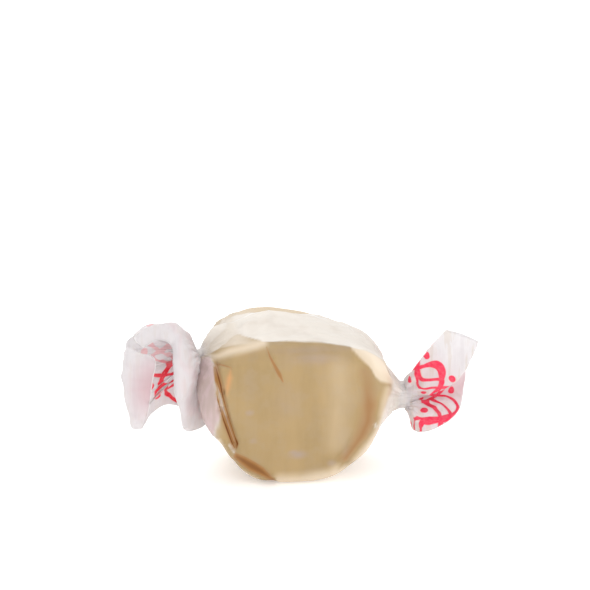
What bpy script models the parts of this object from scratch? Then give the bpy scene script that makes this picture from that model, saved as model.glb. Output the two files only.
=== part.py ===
"""Salt water taffy in a sheet of wax paper that is rolled round it and twisted at both ends.

The taffy is a short pressed cylinder whose axis runs along Y, so its flat end faces -Y. The
paper is one open sheet: it starts under its own lap on the top, goes over the back, under the
bottom and up the front, laps over its start, and is gathered to a twisted neck on the left and
on the right, past which its free ends open as fans. X is left to right and Z is up, and the
part rests on a flat spot under its middle at Z = 0. Sizes are in millimetres until the meshes
are made.
"""

import math

import bmesh
import bpy
import numpy as np

MM = 0.001

# The face of the wrapped sweet, seen from the front: four quarters of superellipses.
FACE_HALF_WIDTH = 12.9
FACE_CENTRE_Z = 14.8
FACE_RISE = 6.5
FACE_DROP = 15.6
FACE_LEAN = math.radians(2.5)
TOP_RIGHT_POWER = 2.1
TOP_LEFT_POWER = 2.5
LOW_LEFT_POWER = 2.4
LOW_RIGHT_POWER = 1.75
HALF_DEPTH = 8.65
RIM_RADIUS = 2.6
RIM_SEGMENTS = 4
RIM_ANGLE = math.radians(60)
OUTLINE_POINTS = 60

# The paper, thicker than the real sheet so that it is a solid wall.
PAPER_WALL = 0.25
PAPER_CLEARANCE = 0.36
PAPER_STANDOFF = PAPER_CLEARANCE + PAPER_WALL / 2
SKIN = PAPER_CLEARANCE + PAPER_WALL
LAYER_GAP = 0.4
LAYER_STEP = PAPER_WALL + LAYER_GAP

# The roll of the paper, as angles in degrees round the X axis: 0 is the front, 90 the top. The
# last turn rises by a layer over LAP_RISE degrees and is up LAP_MARGIN before it laps the start.
ROLL_START = 48.0
ROLL_SPAN = 430.0
LAP_RISE = 22.0
LAP_MARGIN = 4.0
LAP_CLOSING = 18.0

# How finely the sheet is divided, the table of the tight paper that it is read from, and the
# search for the taffy's skin along a ray: how far it looks and how often it halves the stretch.
COLUMNS = 56
BODY_ROWS = 26
HULL_STATIONS = 161
HULL_TURNS = 181
SLOPE_STEP = 0.1
SLOPE_TURN = 0.8
ROLL_SAMPLES = 1440
FARTHEST = 24.0
HALVINGS = 30

# The two necks, where the paper is twisted, and the fans beyond them.
LEFT_NECK = (-13.7, 1.5, 17.3)
RIGHT_NECK = (15.4, 0.5, 10.2)
NECK_RADIUS = 1.5
NECK_LENGTH = 0.8
FAN_ROWS = 7

# Gathers in the paper over the taffy's sides.
GATHERS = 13
GATHER_DEPTH = 0.55
GATHER_START = 7.5
GATHER_ROOM = 6.0

# Folds of each fan in order round the neck. Each row is the fold's angle at the neck, then the
# place of its middle and of its cut end, as (out from the neck, up, to the front).
LEFT_FOLDS = (
    (130, (11.3, 2.6, 2.5), (8.0, 2.1, 6.5)),
    (152, (12.1, -0.8, 2.5), (8.3, -0.5, 7.5)),
    (174, (11.6, -4.2, 2.5), (8.6, -3.5, 7.5)),
    (194, (10.6, -7.1, 2.5), (8.7, -6.8, 6.0)),
    (214, (8.0, -7.5, 0.0), (9.2, -10.1, 3.0)),
    (232, (5.1, -5.4, -1.5), (7.2, -8.8, -0.5)),
    (248, (2.8, -4.5, -2.5), (4.2, -8.1, -2.2)),
    (266, (1.7, -6.0, -0.9), (0.9, -10.3, -0.5)),
    (290, (1.3, -5.6, 2.4), (2.2, -10.4, 3.0)),
    (320, (1.7, -3.0, 5.0), (3.9, -6.7, 5.5)),
    (355, (1.9, 0.2, 6.0), (5.2, -2.9, 6.5)),
    (388, (2.9, 3.6, 5.5), (5.4, 1.1, 6.5)),
    (416, (3.8, 5.9, 3.5), (5.5, 3.4, 5.5)),
    (442, (6.7, 5.8, 3.0), (6.4, -0.1, 4.5)),
    (465, (9.1, 4.0, 2.5), (8.4, -1.0, 4.5)),
)
RIGHT_FOLDS = (
    (60, (1.6, 5.2, 2.0), (5.4, 9.8, 2.5)),
    (97, (2.1, 3.4, -1.5), (5.4, 7.0, -1.5)),
    (135, (3.0, 1.5, -3.5), (7.2, 2.9, -3.5)),
    (174, (3.0, -0.5, -3.5), (6.6, -1.4, -3.5)),
    (216, (1.8, -2.2, -2.4), (3.4, -4.0, -2.2)),
    (262, (1.6, -2.9, 0.4), (1.9, -5.0, 1.0)),
    (290, (1.8, -1.8, 3.2), (3.4, -3.9, 3.8)),
    (308, (3.2, -0.9, 2.8), (6.2, -2.6, 3.5)),
    (320, (4.4, -0.9, 1.2), (8.6, -1.5, 1.5)),
    (334, (6.0, -0.6, -0.4), (10.0, 0.2, -0.5)),
    (348, (7.3, 0.9, 0.0), (11.2, 3.2, -1.2)),
    (358, (7.8, 2.4, 1.5), (11.1, 6.9, 0.5)),
    (371, (5.7, 4.6, 5.0), (10.2, 10.4, 5.5)),
    (383, (3.7, 5.8, 5.5), (7.8, 11.8, 6.5)),
    (395, (1.9, 6.3, 4.5), (5.8, 12.5, 5.5)),
)

TAFFY_COLOUR = (0.56, 0.36, 0.18)
TAFFY_ROUGHNESS = 0.45
PAPER_COLOUR = (0.90, 0.86, 0.83)
PAPER_ROUGHNESS = 0.4


def face_quarters(along, up, inset):
    """Half width, half height and power of the quarter that each point of the face lies in."""
    above = up > 0
    left = along < 0
    half_width = FACE_HALF_WIDTH - inset
    half_height = np.where(above, FACE_RISE, FACE_DROP) - inset
    power = np.where(
        above,
        np.where(left, TOP_LEFT_POWER, TOP_RIGHT_POWER),
        np.where(left, LOW_LEFT_POWER, LOW_RIGHT_POWER),
    )
    return half_width, half_height, power


def face_distance(x, z, inset):
    """Distance of points in the XZ plane from the face's outline, negative inside it."""
    lean_cos = math.cos(FACE_LEAN)
    lean_sin = math.sin(FACE_LEAN)
    rise = z - FACE_CENTRE_Z
    along = x * lean_cos - rise * lean_sin
    up = x * lean_sin + rise * lean_cos
    half_width, half_height, power = face_quarters(along, up, inset)
    across = np.abs(along) + 1e-9
    height = np.abs(up) + 1e-9
    level = ((across / half_width) ** power + (height / half_height) ** power) ** (1 / power)
    slope_across = (across / half_width) ** (power - 1) / half_width
    slope_height = (height / half_height) ** (power - 1) / half_height
    slope = np.hypot(slope_across, slope_height) * level ** (1 - power)
    outline = (level - 1) / slope
    return np.maximum(outline, inset - z)


def taffy_distance(x, y, z):
    """Distance of points from the taffy's rounded skin, negative inside it."""
    radius = RIM_RADIUS - SKIN
    side = face_distance(x, z, SKIN) + radius
    end = np.abs(y) - (HALF_DEPTH - SKIN) + radius
    inner = np.minimum(np.maximum(side, end), 0)
    return inner + np.hypot(np.maximum(side, 0), np.maximum(end, 0)) - radius


def reach(start, direction, standoff):
    """Distance from points inside the taffy, along a direction, to its skin plus a standoff."""
    near = np.zeros(direction[1].shape)
    far = np.full(direction[1].shape, FARTHEST)
    for _ in range(HALVINGS):
        middle = (near + far) / 2
        point = [origin + middle * part for origin, part in zip(start, direction)]
        outside = taffy_distance(*point) > standoff
        far = np.where(outside, middle, far)
        near = np.where(outside, near, middle)
    return near


def smooth(value, low, high):
    """0 below low, 1 above high and a smooth step between them."""
    share = np.clip((value - low) / (high - low), 0, 1)
    return share * share * (3 - 2 * share)


def spline(points, position):
    """Points of a Catmull-Rom curve through the given points, at positions from 0 to 1."""
    points = np.asarray(points, dtype=float)
    if points.ndim == 1:
        points = points[:, None]
    first = 2 * points[0] - points[1]
    last = 2 * points[-1] - points[-2]
    padded = np.vstack([first, points, last])
    place = np.clip(position, 0, 1) * (len(points) - 1)
    index = np.minimum(place.astype(int), len(points) - 2)
    t = (place - index)[:, None]
    before, start, end, after = (padded[index + k] for k in range(4))
    bend = 2 * before - 5 * start + 4 * end - after
    turn = 3 * (start - end) + after - before
    return start + 0.5 * t * (end - before + t * (bend + t * turn))


def axis_point(x):
    """The point at x on the straight line from one neck to the other."""
    share = (x - LEFT_NECK[0]) / (RIGHT_NECK[0] - LEFT_NECK[0])
    y = LEFT_NECK[1] + share * (RIGHT_NECK[1] - LEFT_NECK[1])
    z = LEFT_NECK[2] + share * (RIGHT_NECK[2] - LEFT_NECK[2])
    return y, z


def upper_hull(x, height):
    """Heights of the tight band that is drawn over the points (x, height)."""
    kept = []
    for point in zip(x, height):
        while len(kept) > 1:
            (x0, h0), (x1, h1) = kept[-2:]
            if (x1 - x0) * (point[1] - h0) < (point[0] - x0) * (h1 - h0):
                break
            kept.pop()
        kept.append(point)
    hull_x, hull_height = zip(*kept)
    return np.interp(x, hull_x, hull_height)


def roll_angles(columns):
    """Angles of the paper's columns, evenly spaced along the paper round the taffy's middle."""
    angle = np.linspace(ROLL_START, ROLL_START + ROLL_SPAN, ROLL_SAMPLES)
    y0, z0 = axis_point(0.0)
    turn = np.radians(angle)
    radius = reach((0.0, y0, z0), (0.0, -np.cos(turn), np.sin(turn)), PAPER_STANDOFF)
    y = -radius * np.cos(turn)
    z = radius * np.sin(turn)
    length = np.concatenate([[0], np.cumsum(np.hypot(np.diff(y), np.diff(z)))])
    return np.interp(np.linspace(0, length[-1], columns), length, angle)


def body_stations(rows):
    """Places along X of the paper's rows, closer together near the necks."""
    share = np.linspace(-1, 1, rows)
    eased = np.sign(share) * (1 - (1 - np.abs(share)) ** 2)
    return np.where(eased < 0, -eased * LEFT_NECK[0], eased * RIGHT_NECK[0])


def tight_paper():
    """Distance of the paper from the line between the necks, drawn tight over the taffy.

    The table has a row for each station along X and a column for each direction round it.
    """
    stations = body_stations(HULL_STATIONS)
    turn = np.radians(np.linspace(0, 360, HULL_TURNS))
    y0, z0 = axis_point(stations)
    start = (stations[:, None], y0[:, None], z0[:, None])
    direction = (0.0, -np.cos(turn)[None, :], np.sin(turn)[None, :])
    radius = reach(start, direction, PAPER_STANDOFF)
    radius[0] = NECK_RADIUS
    radius[-1] = NECK_RADIUS
    for column in range(HULL_TURNS):
        radius[:, column] = upper_hull(stations, radius[:, column])
    return stations, radius


def look_up(table, x, turn):
    """Read the table of distances at places along X and directions in degrees."""
    stations, radius = table
    row = np.clip(np.searchsorted(stations, x) - 1, 0, len(stations) - 2)
    down = (x - stations[row]) / (stations[row + 1] - stations[row])
    place = (turn % 360) / 360 * (HULL_TURNS - 1)
    column = np.minimum(place.astype(int), HULL_TURNS - 2)
    across = place - column
    near = radius[row, column] * (1 - across) + radius[row, column + 1] * across
    far = radius[row + 1, column] * (1 - across) + radius[row + 1, column + 1] * across
    return near * (1 - down) + far * down


def tight_point(table, x, turn):
    """Points of the tight paper."""
    radius = look_up(table, x, turn)
    y0, z0 = axis_point(x)
    radians = np.radians(turn)
    return np.stack([x, y0 - radius * np.cos(radians), z0 + radius * np.sin(radians)], axis=-1)


def tight_normal(table, x, turn):
    """Outward directions of the tight paper."""
    ahead = np.clip(x + SLOPE_STEP, LEFT_NECK[0], RIGHT_NECK[0])
    behind = np.clip(x - SLOPE_STEP, LEFT_NECK[0], RIGHT_NECK[0])
    along = tight_point(table, ahead, turn) - tight_point(table, behind, turn)
    around = tight_point(table, x, turn + SLOPE_TURN) - tight_point(table, x, turn - SLOPE_TURN)
    normal = np.cross(along, around)
    return normal / np.linalg.norm(normal, axis=-1, keepdims=True)


def neck_angles(folds, columns):
    """Angles of the paper's columns round a neck."""
    return spline([fold[0] for fold in folds], np.linspace(0, 1, columns))[:, 0]


def body_paper(angles, stations):
    """The paper over the taffy, from neck to neck: an array of rows, columns and coordinates."""
    table = tight_paper()
    left_ring = neck_angles(LEFT_FOLDS, len(angles))
    right_ring = neck_angles(RIGHT_FOLDS, len(angles))
    left_share = smooth(-stations, GATHER_START, -LEFT_NECK[0])
    right_share = smooth(stations, GATHER_START, RIGHT_NECK[0])
    middle = 1 - left_share - right_share
    turn = (
        middle[:, None] * angles
        + left_share[:, None] * left_ring
        + right_share[:, None] * right_ring
    )
    x = np.broadcast_to(stations[:, None], turn.shape)
    point = tight_point(table, x, turn)

    side = np.maximum(left_share, right_share)[:, None]
    room = np.clip((look_up(table, x, turn) - NECK_RADIUS) / GATHER_ROOM, 0, 1)
    pleat = 0.5 + 0.5 * np.cos(np.radians(turn) * GATHERS)
    meeting = turn[:, :1] + 360 - LAP_MARGIN
    lap = turn[:, -1:] - turn[:, :1] - 360
    over = smooth(turn, meeting - LAP_RISE, meeting) * smooth(lap, -LAP_CLOSING, 0)
    lift = GATHER_DEPTH * pleat * room * np.sqrt(side) + LAYER_STEP * over
    point += tight_normal(table, x, turn) * lift[..., None]
    point[..., 2] = np.maximum(point[..., 2], PAPER_WALL / 2)
    return point


def fan_paper(neck, folds, outward, columns, rows):
    """One fan, from the neck's ring to the cut end of the paper."""
    position = np.linspace(0, 1, columns)
    ring_turn = np.radians(neck_angles(folds, columns))
    middle_line = spline([fold[1] for fold in folds], position)
    end_line = spline([fold[2] for fold in folds], position)
    ring = np.stack(
        [
            np.full(columns, NECK_LENGTH),
            NECK_RADIUS * np.sin(ring_turn),
            NECK_RADIUS * np.cos(ring_turn),
        ],
        axis=-1,
    )
    grid = []
    for w in np.linspace(0, 1, rows):
        grid.append(
            ring * (1 - w) * (1 - 2 * w) + middle_line * 4 * w * (1 - w) + end_line * w * (2 * w - 1)
        )
    local = np.array(grid)
    x = neck[0] + outward * local[..., 0]
    y = neck[1] - local[..., 2]
    z = neck[2] + local[..., 1]
    return np.stack([x, y, z], axis=-1)


def wrapper_grid():
    """The whole sheet, from the left fan's cut end to the right fan's."""
    body = body_paper(roll_angles(COLUMNS), body_stations(BODY_ROWS))
    left = fan_paper(LEFT_NECK, LEFT_FOLDS, -1, COLUMNS, FAN_ROWS + 1)
    right = fan_paper(RIGHT_NECK, RIGHT_FOLDS, 1, COLUMNS, FAN_ROWS + 1)
    return np.concatenate([left[::-1], body, right])


def sheet_mesh(name, grid):
    """A sheet of quads through a grid of points."""
    rows, columns = grid.shape[:2]
    mesh_builder = bmesh.new()
    verts = [[mesh_builder.verts.new(point * MM) for point in row] for row in grid]
    for row in range(rows - 1):
        for column in range(columns - 1):
            mesh_builder.faces.new(
                (
                    verts[row][column],
                    verts[row][column + 1],
                    verts[row + 1][column + 1],
                    verts[row + 1][column],
                )
            )
    mesh = bpy.data.meshes.new(name)
    mesh_builder.to_mesh(mesh)
    mesh_builder.free()
    mesh.shade_smooth()
    return mesh


def material(name, colour, roughness):
    """A plain finish."""
    finish = bpy.data.materials.new(name)
    finish.use_nodes = True
    shader = finish.node_tree.nodes["Principled BSDF"]
    shader.inputs["Base Color"].default_value = (*colour, 1)
    shader.inputs["Roughness"].default_value = roughness
    shader.inputs["Metallic"].default_value = 0
    return finish


def add_object(name, mesh, finish):
    """Put a mesh in the scene under a name, with its finish."""
    thing = bpy.data.objects.new(name, mesh)
    bpy.context.collection.objects.link(thing)
    mesh.materials.append(finish)
    return thing


def face_outline():
    """The taffy's outline in the XZ plane, as rays from its centre to its skin."""
    turn = np.linspace(0, 2 * math.pi, OUTLINE_POINTS, endpoint=False)
    start = (0.0, 0.0, FACE_CENTRE_Z)
    radius = reach(start, (np.cos(turn), 0 * turn, np.sin(turn)), 0.0)
    return [(r * math.cos(t), FACE_CENTRE_Z + r * math.sin(t)) for r, t in zip(radius, turn)]


def make_taffy():
    """The taffy: its outline pressed straight through, with rounded rims."""
    half_depth = HALF_DEPTH - SKIN
    mesh_builder = bmesh.new()
    outline = [
        mesh_builder.verts.new((x * MM, -half_depth * MM, z * MM)) for x, z in face_outline()
    ]
    face = mesh_builder.faces.new(outline)
    pressed = bmesh.ops.extrude_face_region(mesh_builder, geom=[face])
    moved = [part for part in pressed["geom"] if isinstance(part, bmesh.types.BMVert)]
    bmesh.ops.translate(mesh_builder, verts=moved, vec=(0, 2 * half_depth * MM, 0))
    bmesh.ops.recalc_face_normals(mesh_builder, faces=mesh_builder.faces)
    mesh = bpy.data.meshes.new("taffy")
    mesh_builder.to_mesh(mesh)
    mesh_builder.free()
    taffy = add_object("taffy", mesh, material("taffy", TAFFY_COLOUR, TAFFY_ROUGHNESS))
    rim = taffy.modifiers.new("rim", "BEVEL")
    rim.width = (RIM_RADIUS - SKIN) * MM
    rim.segments = RIM_SEGMENTS
    rim.limit_method = "ANGLE"
    rim.angle_limit = RIM_ANGLE
    return taffy


def make_wrapper():
    """The wax paper, given its wall."""
    mesh = sheet_mesh("wrapper", wrapper_grid())
    wrapper = add_object("wrapper", mesh, material("waxed_paper", PAPER_COLOUR, PAPER_ROUGHNESS))
    wall = wrapper.modifiers.new("wall", "SOLIDIFY")
    wall.thickness = PAPER_WALL * MM
    wall.offset = 0
    return wrapper


def main():
    """Clear the scene and make the sweet."""
    for thing in list(bpy.data.objects):
        bpy.data.objects.remove(thing)
    make_taffy()
    make_wrapper()


main()
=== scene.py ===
"""Salt water taffy in twisted wax paper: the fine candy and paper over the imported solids.

The candy is a soft block pressed flat at both ends. The paper is one thin sheet that starts
under its own lap on the top, goes over the back, under the bottom and up the front, laps over
its start, and is gathered to a twisted neck on each side, past which its free ends open as
fans. Where the paper lies on the candy it turns clear, and where it stands off it is white.
Lengths in the shape functions are millimetres. Lengths in the properties are metres.
"""

import math

import bmesh
import bpy
import numpy as np
from bpy.props import FloatProperty, FloatVectorProperty, IntProperty, PointerProperty
from mathutils import Euler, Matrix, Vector


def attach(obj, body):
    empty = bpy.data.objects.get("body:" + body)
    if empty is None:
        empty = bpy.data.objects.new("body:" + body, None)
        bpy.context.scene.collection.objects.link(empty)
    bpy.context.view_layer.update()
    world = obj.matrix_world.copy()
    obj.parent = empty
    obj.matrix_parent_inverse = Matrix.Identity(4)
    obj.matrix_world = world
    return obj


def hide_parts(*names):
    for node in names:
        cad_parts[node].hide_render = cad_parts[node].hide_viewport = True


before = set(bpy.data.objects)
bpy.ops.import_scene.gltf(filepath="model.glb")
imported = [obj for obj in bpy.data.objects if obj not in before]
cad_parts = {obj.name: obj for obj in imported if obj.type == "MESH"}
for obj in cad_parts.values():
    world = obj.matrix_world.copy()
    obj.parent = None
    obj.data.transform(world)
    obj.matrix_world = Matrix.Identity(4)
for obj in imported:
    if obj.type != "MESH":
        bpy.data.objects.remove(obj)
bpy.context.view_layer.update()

bl_info = {
    "name": "Twist Wrapped Taffy",
    "version": (1, 0, 0),
    "blender": (4, 5, 0),
    "location": "View3D > Sidebar > Taffy",
    "description": "Makes a salt water taffy in twisted wax paper, and a stage for it",
    "category": "Object",
}

MM = 0.001
TINY = 1e-9
BODY = "root"

# The two lamps, each as (size, place), in metres.
KEY_LAMP = (0.5, (-0.18, 0.28, 0.55))
FILL_LAMP = (0.35, (0.15, -0.6, 0.3))

# The face of the wrapped sweet, seen from the front: four quarters of superellipses.
FACE_HALF_WIDTH = 12.9
FACE_CENTRE_Z = 14.8
FACE_RISE = 6.5
FACE_DROP = 15.6
FACE_LEAN = math.radians(2.5)
TOP_RIGHT_POWER = 2.1
TOP_LEFT_POWER = 2.5
LOW_LEFT_POWER = 2.35
LOW_RIGHT_POWER = 1.85
HALF_DEPTH = 8.65
FOOT_ROUNDING = 1.4

# The block that is pushed out to the candy's skin: its middle and half sizes, how far off the
# skin's slope is felt, and how much deeper than the paper's its grooves are.
CANDY_MIDDLE = (0.0, 0.0, FACE_CENTRE_Z * 0.75)
CANDY_BLOCK = (FACE_HALF_WIDTH, HALF_DEPTH, 10.5)
CANDY_NUDGE = 0.02
CANDY_SINK = 1.1

# The roll of the paper, as angles in degrees round the X axis: 0 is the front, 90 the top.
ROLL_START = 58.0
ROLL_SPAN = 420.0
LAP_RISE = 14.0
LAP_MARGIN = 4.0
LAP_CLOSING = 18.0

# The two necks, where the paper is twisted, and the fans beyond them.
LEFT_NECK = (-13.7, 1.5, 17.3)
RIGHT_NECK = (15.4, 0.5, 10.2)
LEFT_NECK_RADIUS = 0.75
RIGHT_NECK_RADIUS = 1.9
# How the paper sags between the candy and each neck: 1 is drawn straight, less hangs closer.
LEFT_SAG = 0.9
RIGHT_SAG = 0.3
NECK_LENGTH = 0.8
NECK_CLOSING = 1.1
NECK_FADE = 1.5

# Folds of each fan in order round the neck. Each row is the fold's angle at the neck, then the
# place of its middle and of its cut end, as (out from the neck, up, to the front).
LEFT_FOLDS = (
    (98, (5.4, 4.6, -1.2), (9.8, 3.6, -0.6)),
    (116, (9.4, 3.5, 0.8), (11.4, 2.2, 2.8)),
    (133, (11.1, 2.4, 3.2), (7.7, 2.1, 6.6)),
    (152, (11.5, -0.8, 2.5), (7.9, -0.5, 7.5)),
    (174, (11.1, -4.2, 2.5), (8.3, -3.5, 7.5)),
    (194, (10.2, -7.1, 2.5), (8.7, -6.8, 6.0)),
    (214, (8.9, -8.1, 1.0), (9.2, -9.4, 3.2)),
    (232, (5.1, -5.4, -1.5), (7.2, -8.8, -0.5)),
    (248, (2.8, -4.5, -2.5), (4.2, -8.1, -2.2)),
    (266, (0.7, -6.0, -0.9), (-0.5, -10.0, 0.0)),
    (286, (0.9, -5.8, 2.2), (1.4, -10.4, 2.6)),
    (305, (1.6, -5.0, 4.0), (3.3, -9.6, 4.3)),
    (324, (1.7, -2.8, 5.2), (3.9, -6.5, 5.6)),
    (355, (1.9, 0.2, 6.0), (4.8, -2.9, 6.5)),
    (388, (2.9, 3.6, 5.5), (4.9, 1.3, 6.5)),
    (416, (3.8, 5.9, 3.5), (5.1, 3.7, 5.5)),
    (442, (6.7, 5.8, 3.0), (6.9, 4.2, 4.5)),
    (465, (9.1, 4.0, 2.5), (8.9, 3.0, 4.0)),
)
RIGHT_FOLDS = (
    (60, (2.4, 4.9, 2.0), (5.6, 9.6, 2.5)),
    (97, (2.7, 3.2, -1.5), (5.8, 6.8, -1.5)),
    (135, (3.0, 1.5, -3.5), (7.2, 2.9, -3.5)),
    (174, (3.0, -0.5, -3.5), (6.6, -1.4, -3.5)),
    (216, (1.8, -2.2, -2.4), (3.4, -4.0, -2.2)),
    (262, (1.6, -2.9, 0.4), (1.9, -5.0, 1.0)),
    (290, (1.8, -2.2, 3.2), (3.4, -4.5, 3.8)),
    (306, (3.2, -1.7, 2.8), (6.3, -3.6, 3.3)),
    (318, (4.8, -1.4, 1.2), (8.6, -2.4, 1.5)),
    (330, (6.2, -0.9, -1.0), (9.8, -0.4, -1.2)),
    (342, (6.9, 0.5, -1.6), (10.3, 2.6, -2.4)),
    (352, (5.6, 1.4, -1.2), (8.6, 5.2, -1.6)),
    (360, (4.9, 2.6, 2.4), (8.4, 8.4, 2.2)),
    (367, (6.7, 3.1, 5.2), (10.5, 9.6, 5.4)),
    (381, (4.2, 5.2, 5.5), (8.3, 11.0, 6.0)),
    (395, (1.9, 6.3, 4.5), (5.9, 11.7, 5.5)),
)

# Gathers in the paper between the candy and each neck: where they start, here and on the flat
# front, and how far the paper stands from the axis where they are full. Then how many there are,
# how far they stray, their half widths and heights, and the grooves that they leave at the neck.
GATHER_START = 7.5
LEFT_FRONT_START = 12.0
RIGHT_FRONT_START = 12.6
FLAT_FRONT = (4.0, 7.0)
GATHER_ROOM = 6.0
GATHER_RIDGES = 30
GATHER_STRAY = 0.35
GATHER_SHARPNESS = (4.0, 9.0)
GATHER_HEIGHTS = (0.35, 1.0)
GROOVE_DEPTH = 0.25
GROOVE_LEVEL = 0.6
PLEAT_POWER = 1.4
# The pleats in the fans, by the share of the way out: where they rise and where they end, and
# which height of theirs leaves the paper in its place.
FAN_PLEAT_START = (0.0, 0.12)
FAN_PLEAT_END = (0.15, 0.75)
FAN_PLEAT_LEVEL = 0.4
# The left gathers are calmer in front, by this share, as (turn, half turn).
LEFT_CALM = 0.85
CALM_TURN = (350, 80)

# How finely the sheet is divided, the table of the tight paper that it is read from, and the
# search for the candy's skin along a ray.
COLUMNS = 300
BODY_ROWS = 106
FAN_ROWS = 27
HULL_STATIONS = 241
HULL_TURNS = 721
SLOPE_STEP = 0.1
SLOPE_TURN = 0.8
ROLL_SAMPLES = 1440
STATION_SAMPLES = 2000
FARTHEST = 24.0
HALVINGS = 30
# Where the sheet's rows lie closer together, as (X, half width, how much closer).
CROWDED = (
    (-10.8, 3.5, 1.5),
    (12.6, 3.6, 1.4),
    (LEFT_NECK[0], 1.8, 3.5),
    (RIGHT_NECK[0], 1.8, 1.2),
)

# Marks on the front, in the XZ plane of the face: the line they follow, their half width, how
# far they lift the surface, their tone, which paints shade in brown below 0 and light in cream
# above 0, and how loose they are.
FRONT_MARKS = (
    # the slot on the left, a groove with painted shade in brown: its right side, its left side and
    # what shows between them
    (((-13.1, 19.3), (-12.6, 17.6), (-12.2, 16.1), (-12.0, 14.9)), 0.65, -0.45, -0.22, 0.0),
    (
        ((-12.0, 14.9), (-11.5, 12.8), (-10.9, 10.4), (-10.2, 8.3), (-9.8, 7.0)),
        0.5, -0.4, -0.2, 0.0,
    ),
    (((-12.8, 15.4), (-12.55, 13.9), (-12.2, 12.5)), 0.35, -0.15, -0.1, 0.0),
    (
        ((-12.2, 12.5), (-11.7, 10.7), (-11.2, 9.2), (-10.6, 7.4), (-10.2, 6.5)),
        0.65, -0.5, -0.3, 0.0,
    ),
    (((-11.3, 11.0), (-10.1, 7.2)), 0.7, -0.3, -0.3, 0.0),
    (((-12.45, 15.3), (-12.0, 13.4), (-11.6, 11.7)), 0.3, 0.08, 0.0, 0.0),
    (((-10.9, 6.9), (-10.2, 5.8)), 0.28, 0.15, 0.0, 0.5),
    # the shelf over the slot, and the pale ledge along the top left, a painted highlight
    (((-13.5, 19.4), (-12.1, 19.2), (-10.7, 18.8)), 0.3, -0.12, 0.0, 0.0),
    (
        ((-14.0, 20.4), (-12.6, 20.75), (-9.5, 21.4), (-7.0, 21.9), (-6.0, 22.2)),
        1.2, 0.0, 0.66, 0.0,
    ),
    # the crease in the top of the face
    (((-5.4, 21.5), (-4.4, 18.8), (-3.2, 16.4)), 0.7, -0.08, 0.0, 0.0),
    # the fold along the lower left edge, a dent with painted shade, and the pale edge under it,
    # painted light from below
    (((-9.8, 4.6), (-7.7, 3.4), (-6.4, 2.7), (-4.6, 1.2)), 1.2, -0.25, -0.12, 0.0),
    (((-12.4, 7.6), (-11.9, 6.0), (-10.6, 3.8), (-8.6, 2.3), (-6.3, 0.9)), 0.6, 0.0, 0.6, 0.0),
    # the lower edge, pale with painted light from below, from the right round to the fold
    (((11.9, 9.4), (11.0, 7.4), (9.3, 5.0)), 1.7, 0.0, 0.95, 0.0),
    (((9.4, 5.2), (6.9, 2.8), (3.8, 1.2), (-0.6, 0.6), (-3.6, 0.7)), 2.1, 0.0, 0.78, 0.0),
    # on the right: a soft band of painted light, painted shade along the rim, a painted highlight
    # on the rim beside it, and flecks of loose white paper
    (((5.2, 17.5), (5.1, 12.0), (4.7, 6.5)), 3.2, 0.0, 0.18, 0.0),
    (((9.0, 17.0), (9.6, 14.0), (9.7, 12.0)), 1.7, 0.0, -0.14, 0.0),
    (((12.4, 14.2), (11.9, 12.4), (11.5, 10.4)), 1.3, 0.0, 0.5, 0.0),
    (((10.3, 9.1), (10.5, 8.7)), 0.28, 0.03, 0.0, 0.5),
)

# The facet at the face's upper right, pale with painted light from above, lies over this edge,
# as (X, Z).
FACET_EDGE = (
    (6.0, 22.5), (6.9, 20.5), (8.3, 18.9), (9.6, 17.6), (10.4, 16.1), (11.1, 15.4), (12.8, 14.8),
)
# Its painted light comes in two steps over that edge, each as (share, from, to), and starts on
# the right.
FACET_STEPS = ((0.75, -0.2, 0.6), (0.25, 0.3, 2.6))
FACET_START = (6.0, 6.6)
# How far in front of the middle the marks, the facet and the white at the sides fade in, as -Y.
MARKS_AHEAD = (0.5, 4.0)
FACET_AHEAD = (3.0, 6.0)
SIDES_AHEAD = (-4.0, 1.5)

# Fine dark lines of painted shade in the same plane, painted into the finish, in rows of (X, Z,
# half width): the slot's right and left sides, what shows between them, the fold at the lower
# left, then the line that joins fold and slot, the shelf over the slot, and two creases.
SLOT_RIGHT = (
    (-13.1, 19.4, 0.02), (-12.6, 17.6, 0.12), (-12.2, 16.1, 0.14), (-12.0, 14.9, 0.1),
    (-11.5, 12.8, 0.04), (-10.85, 10.4, 0.04), (-10.2, 8.25, 0.06), (-9.8, 7.05, 0.13),
    (-9.9, 6.4, 0.02),
)
SLOT_LEFT = (
    (-12.85, 15.4, -0.08), (-12.6, 13.9, 0.05), (-12.25, 12.5, 0.02), (-11.75, 10.7, 0.1),
    (-11.25, 9.2, 0.13), (-10.65, 7.4, 0.11), (-10.2, 6.4, 0.0),
)
SLOT_FILL = (
    ((-13.2, 19.0, 0.1), (-12.75, 17.0, 0.3), (-12.3, 15.2, 0.2)),
    ((-11.9, 11.6, -0.15), (-11.15, 9.4, 0.28), (-10.45, 7.2, 0.3)),
)
LOW_FOLD = (
    (-9.9, 5.1, 0.3), (-8.9, 4.4, 0.5), (-7.6, 3.45, 0.6), (-6.4, 2.7, 0.5), (-4.6, 1.2, 0.05),
)
CREASES = (
    ((-10.1, 5.9, 0.0), (-10.05, 4.7, 0.04)),
    ((-13.2, 19.35, 0.12), (-12.0, 19.15, 0.09), (-10.7, 18.75, 0.03), (-10.5, 18.1, -0.14)),
    (
        (-5.5, 21.6, -0.04), (-5.0, 20.1, 0.12), (-4.3, 18.7, 0.2), (-3.6, 17.3, 0.27),
        (-3.1, 16.2, 0.05),
    ),
    ((6.8, 5.3, -0.05), (6.1, 4.2, 0.05), (5.2, 3.4, -0.1)),
)
# Each group of them: how dark it is, how soft its edges are, and its lines.
FINE_LINES = (
    (1.0, 0.14, (SLOT_RIGHT, SLOT_LEFT)),
    (0.5, 0.22, SLOT_FILL),
    (0.7, 0.5, (LOW_FOLD,)),
    (0.4, 0.22, CREASES),
)
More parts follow.
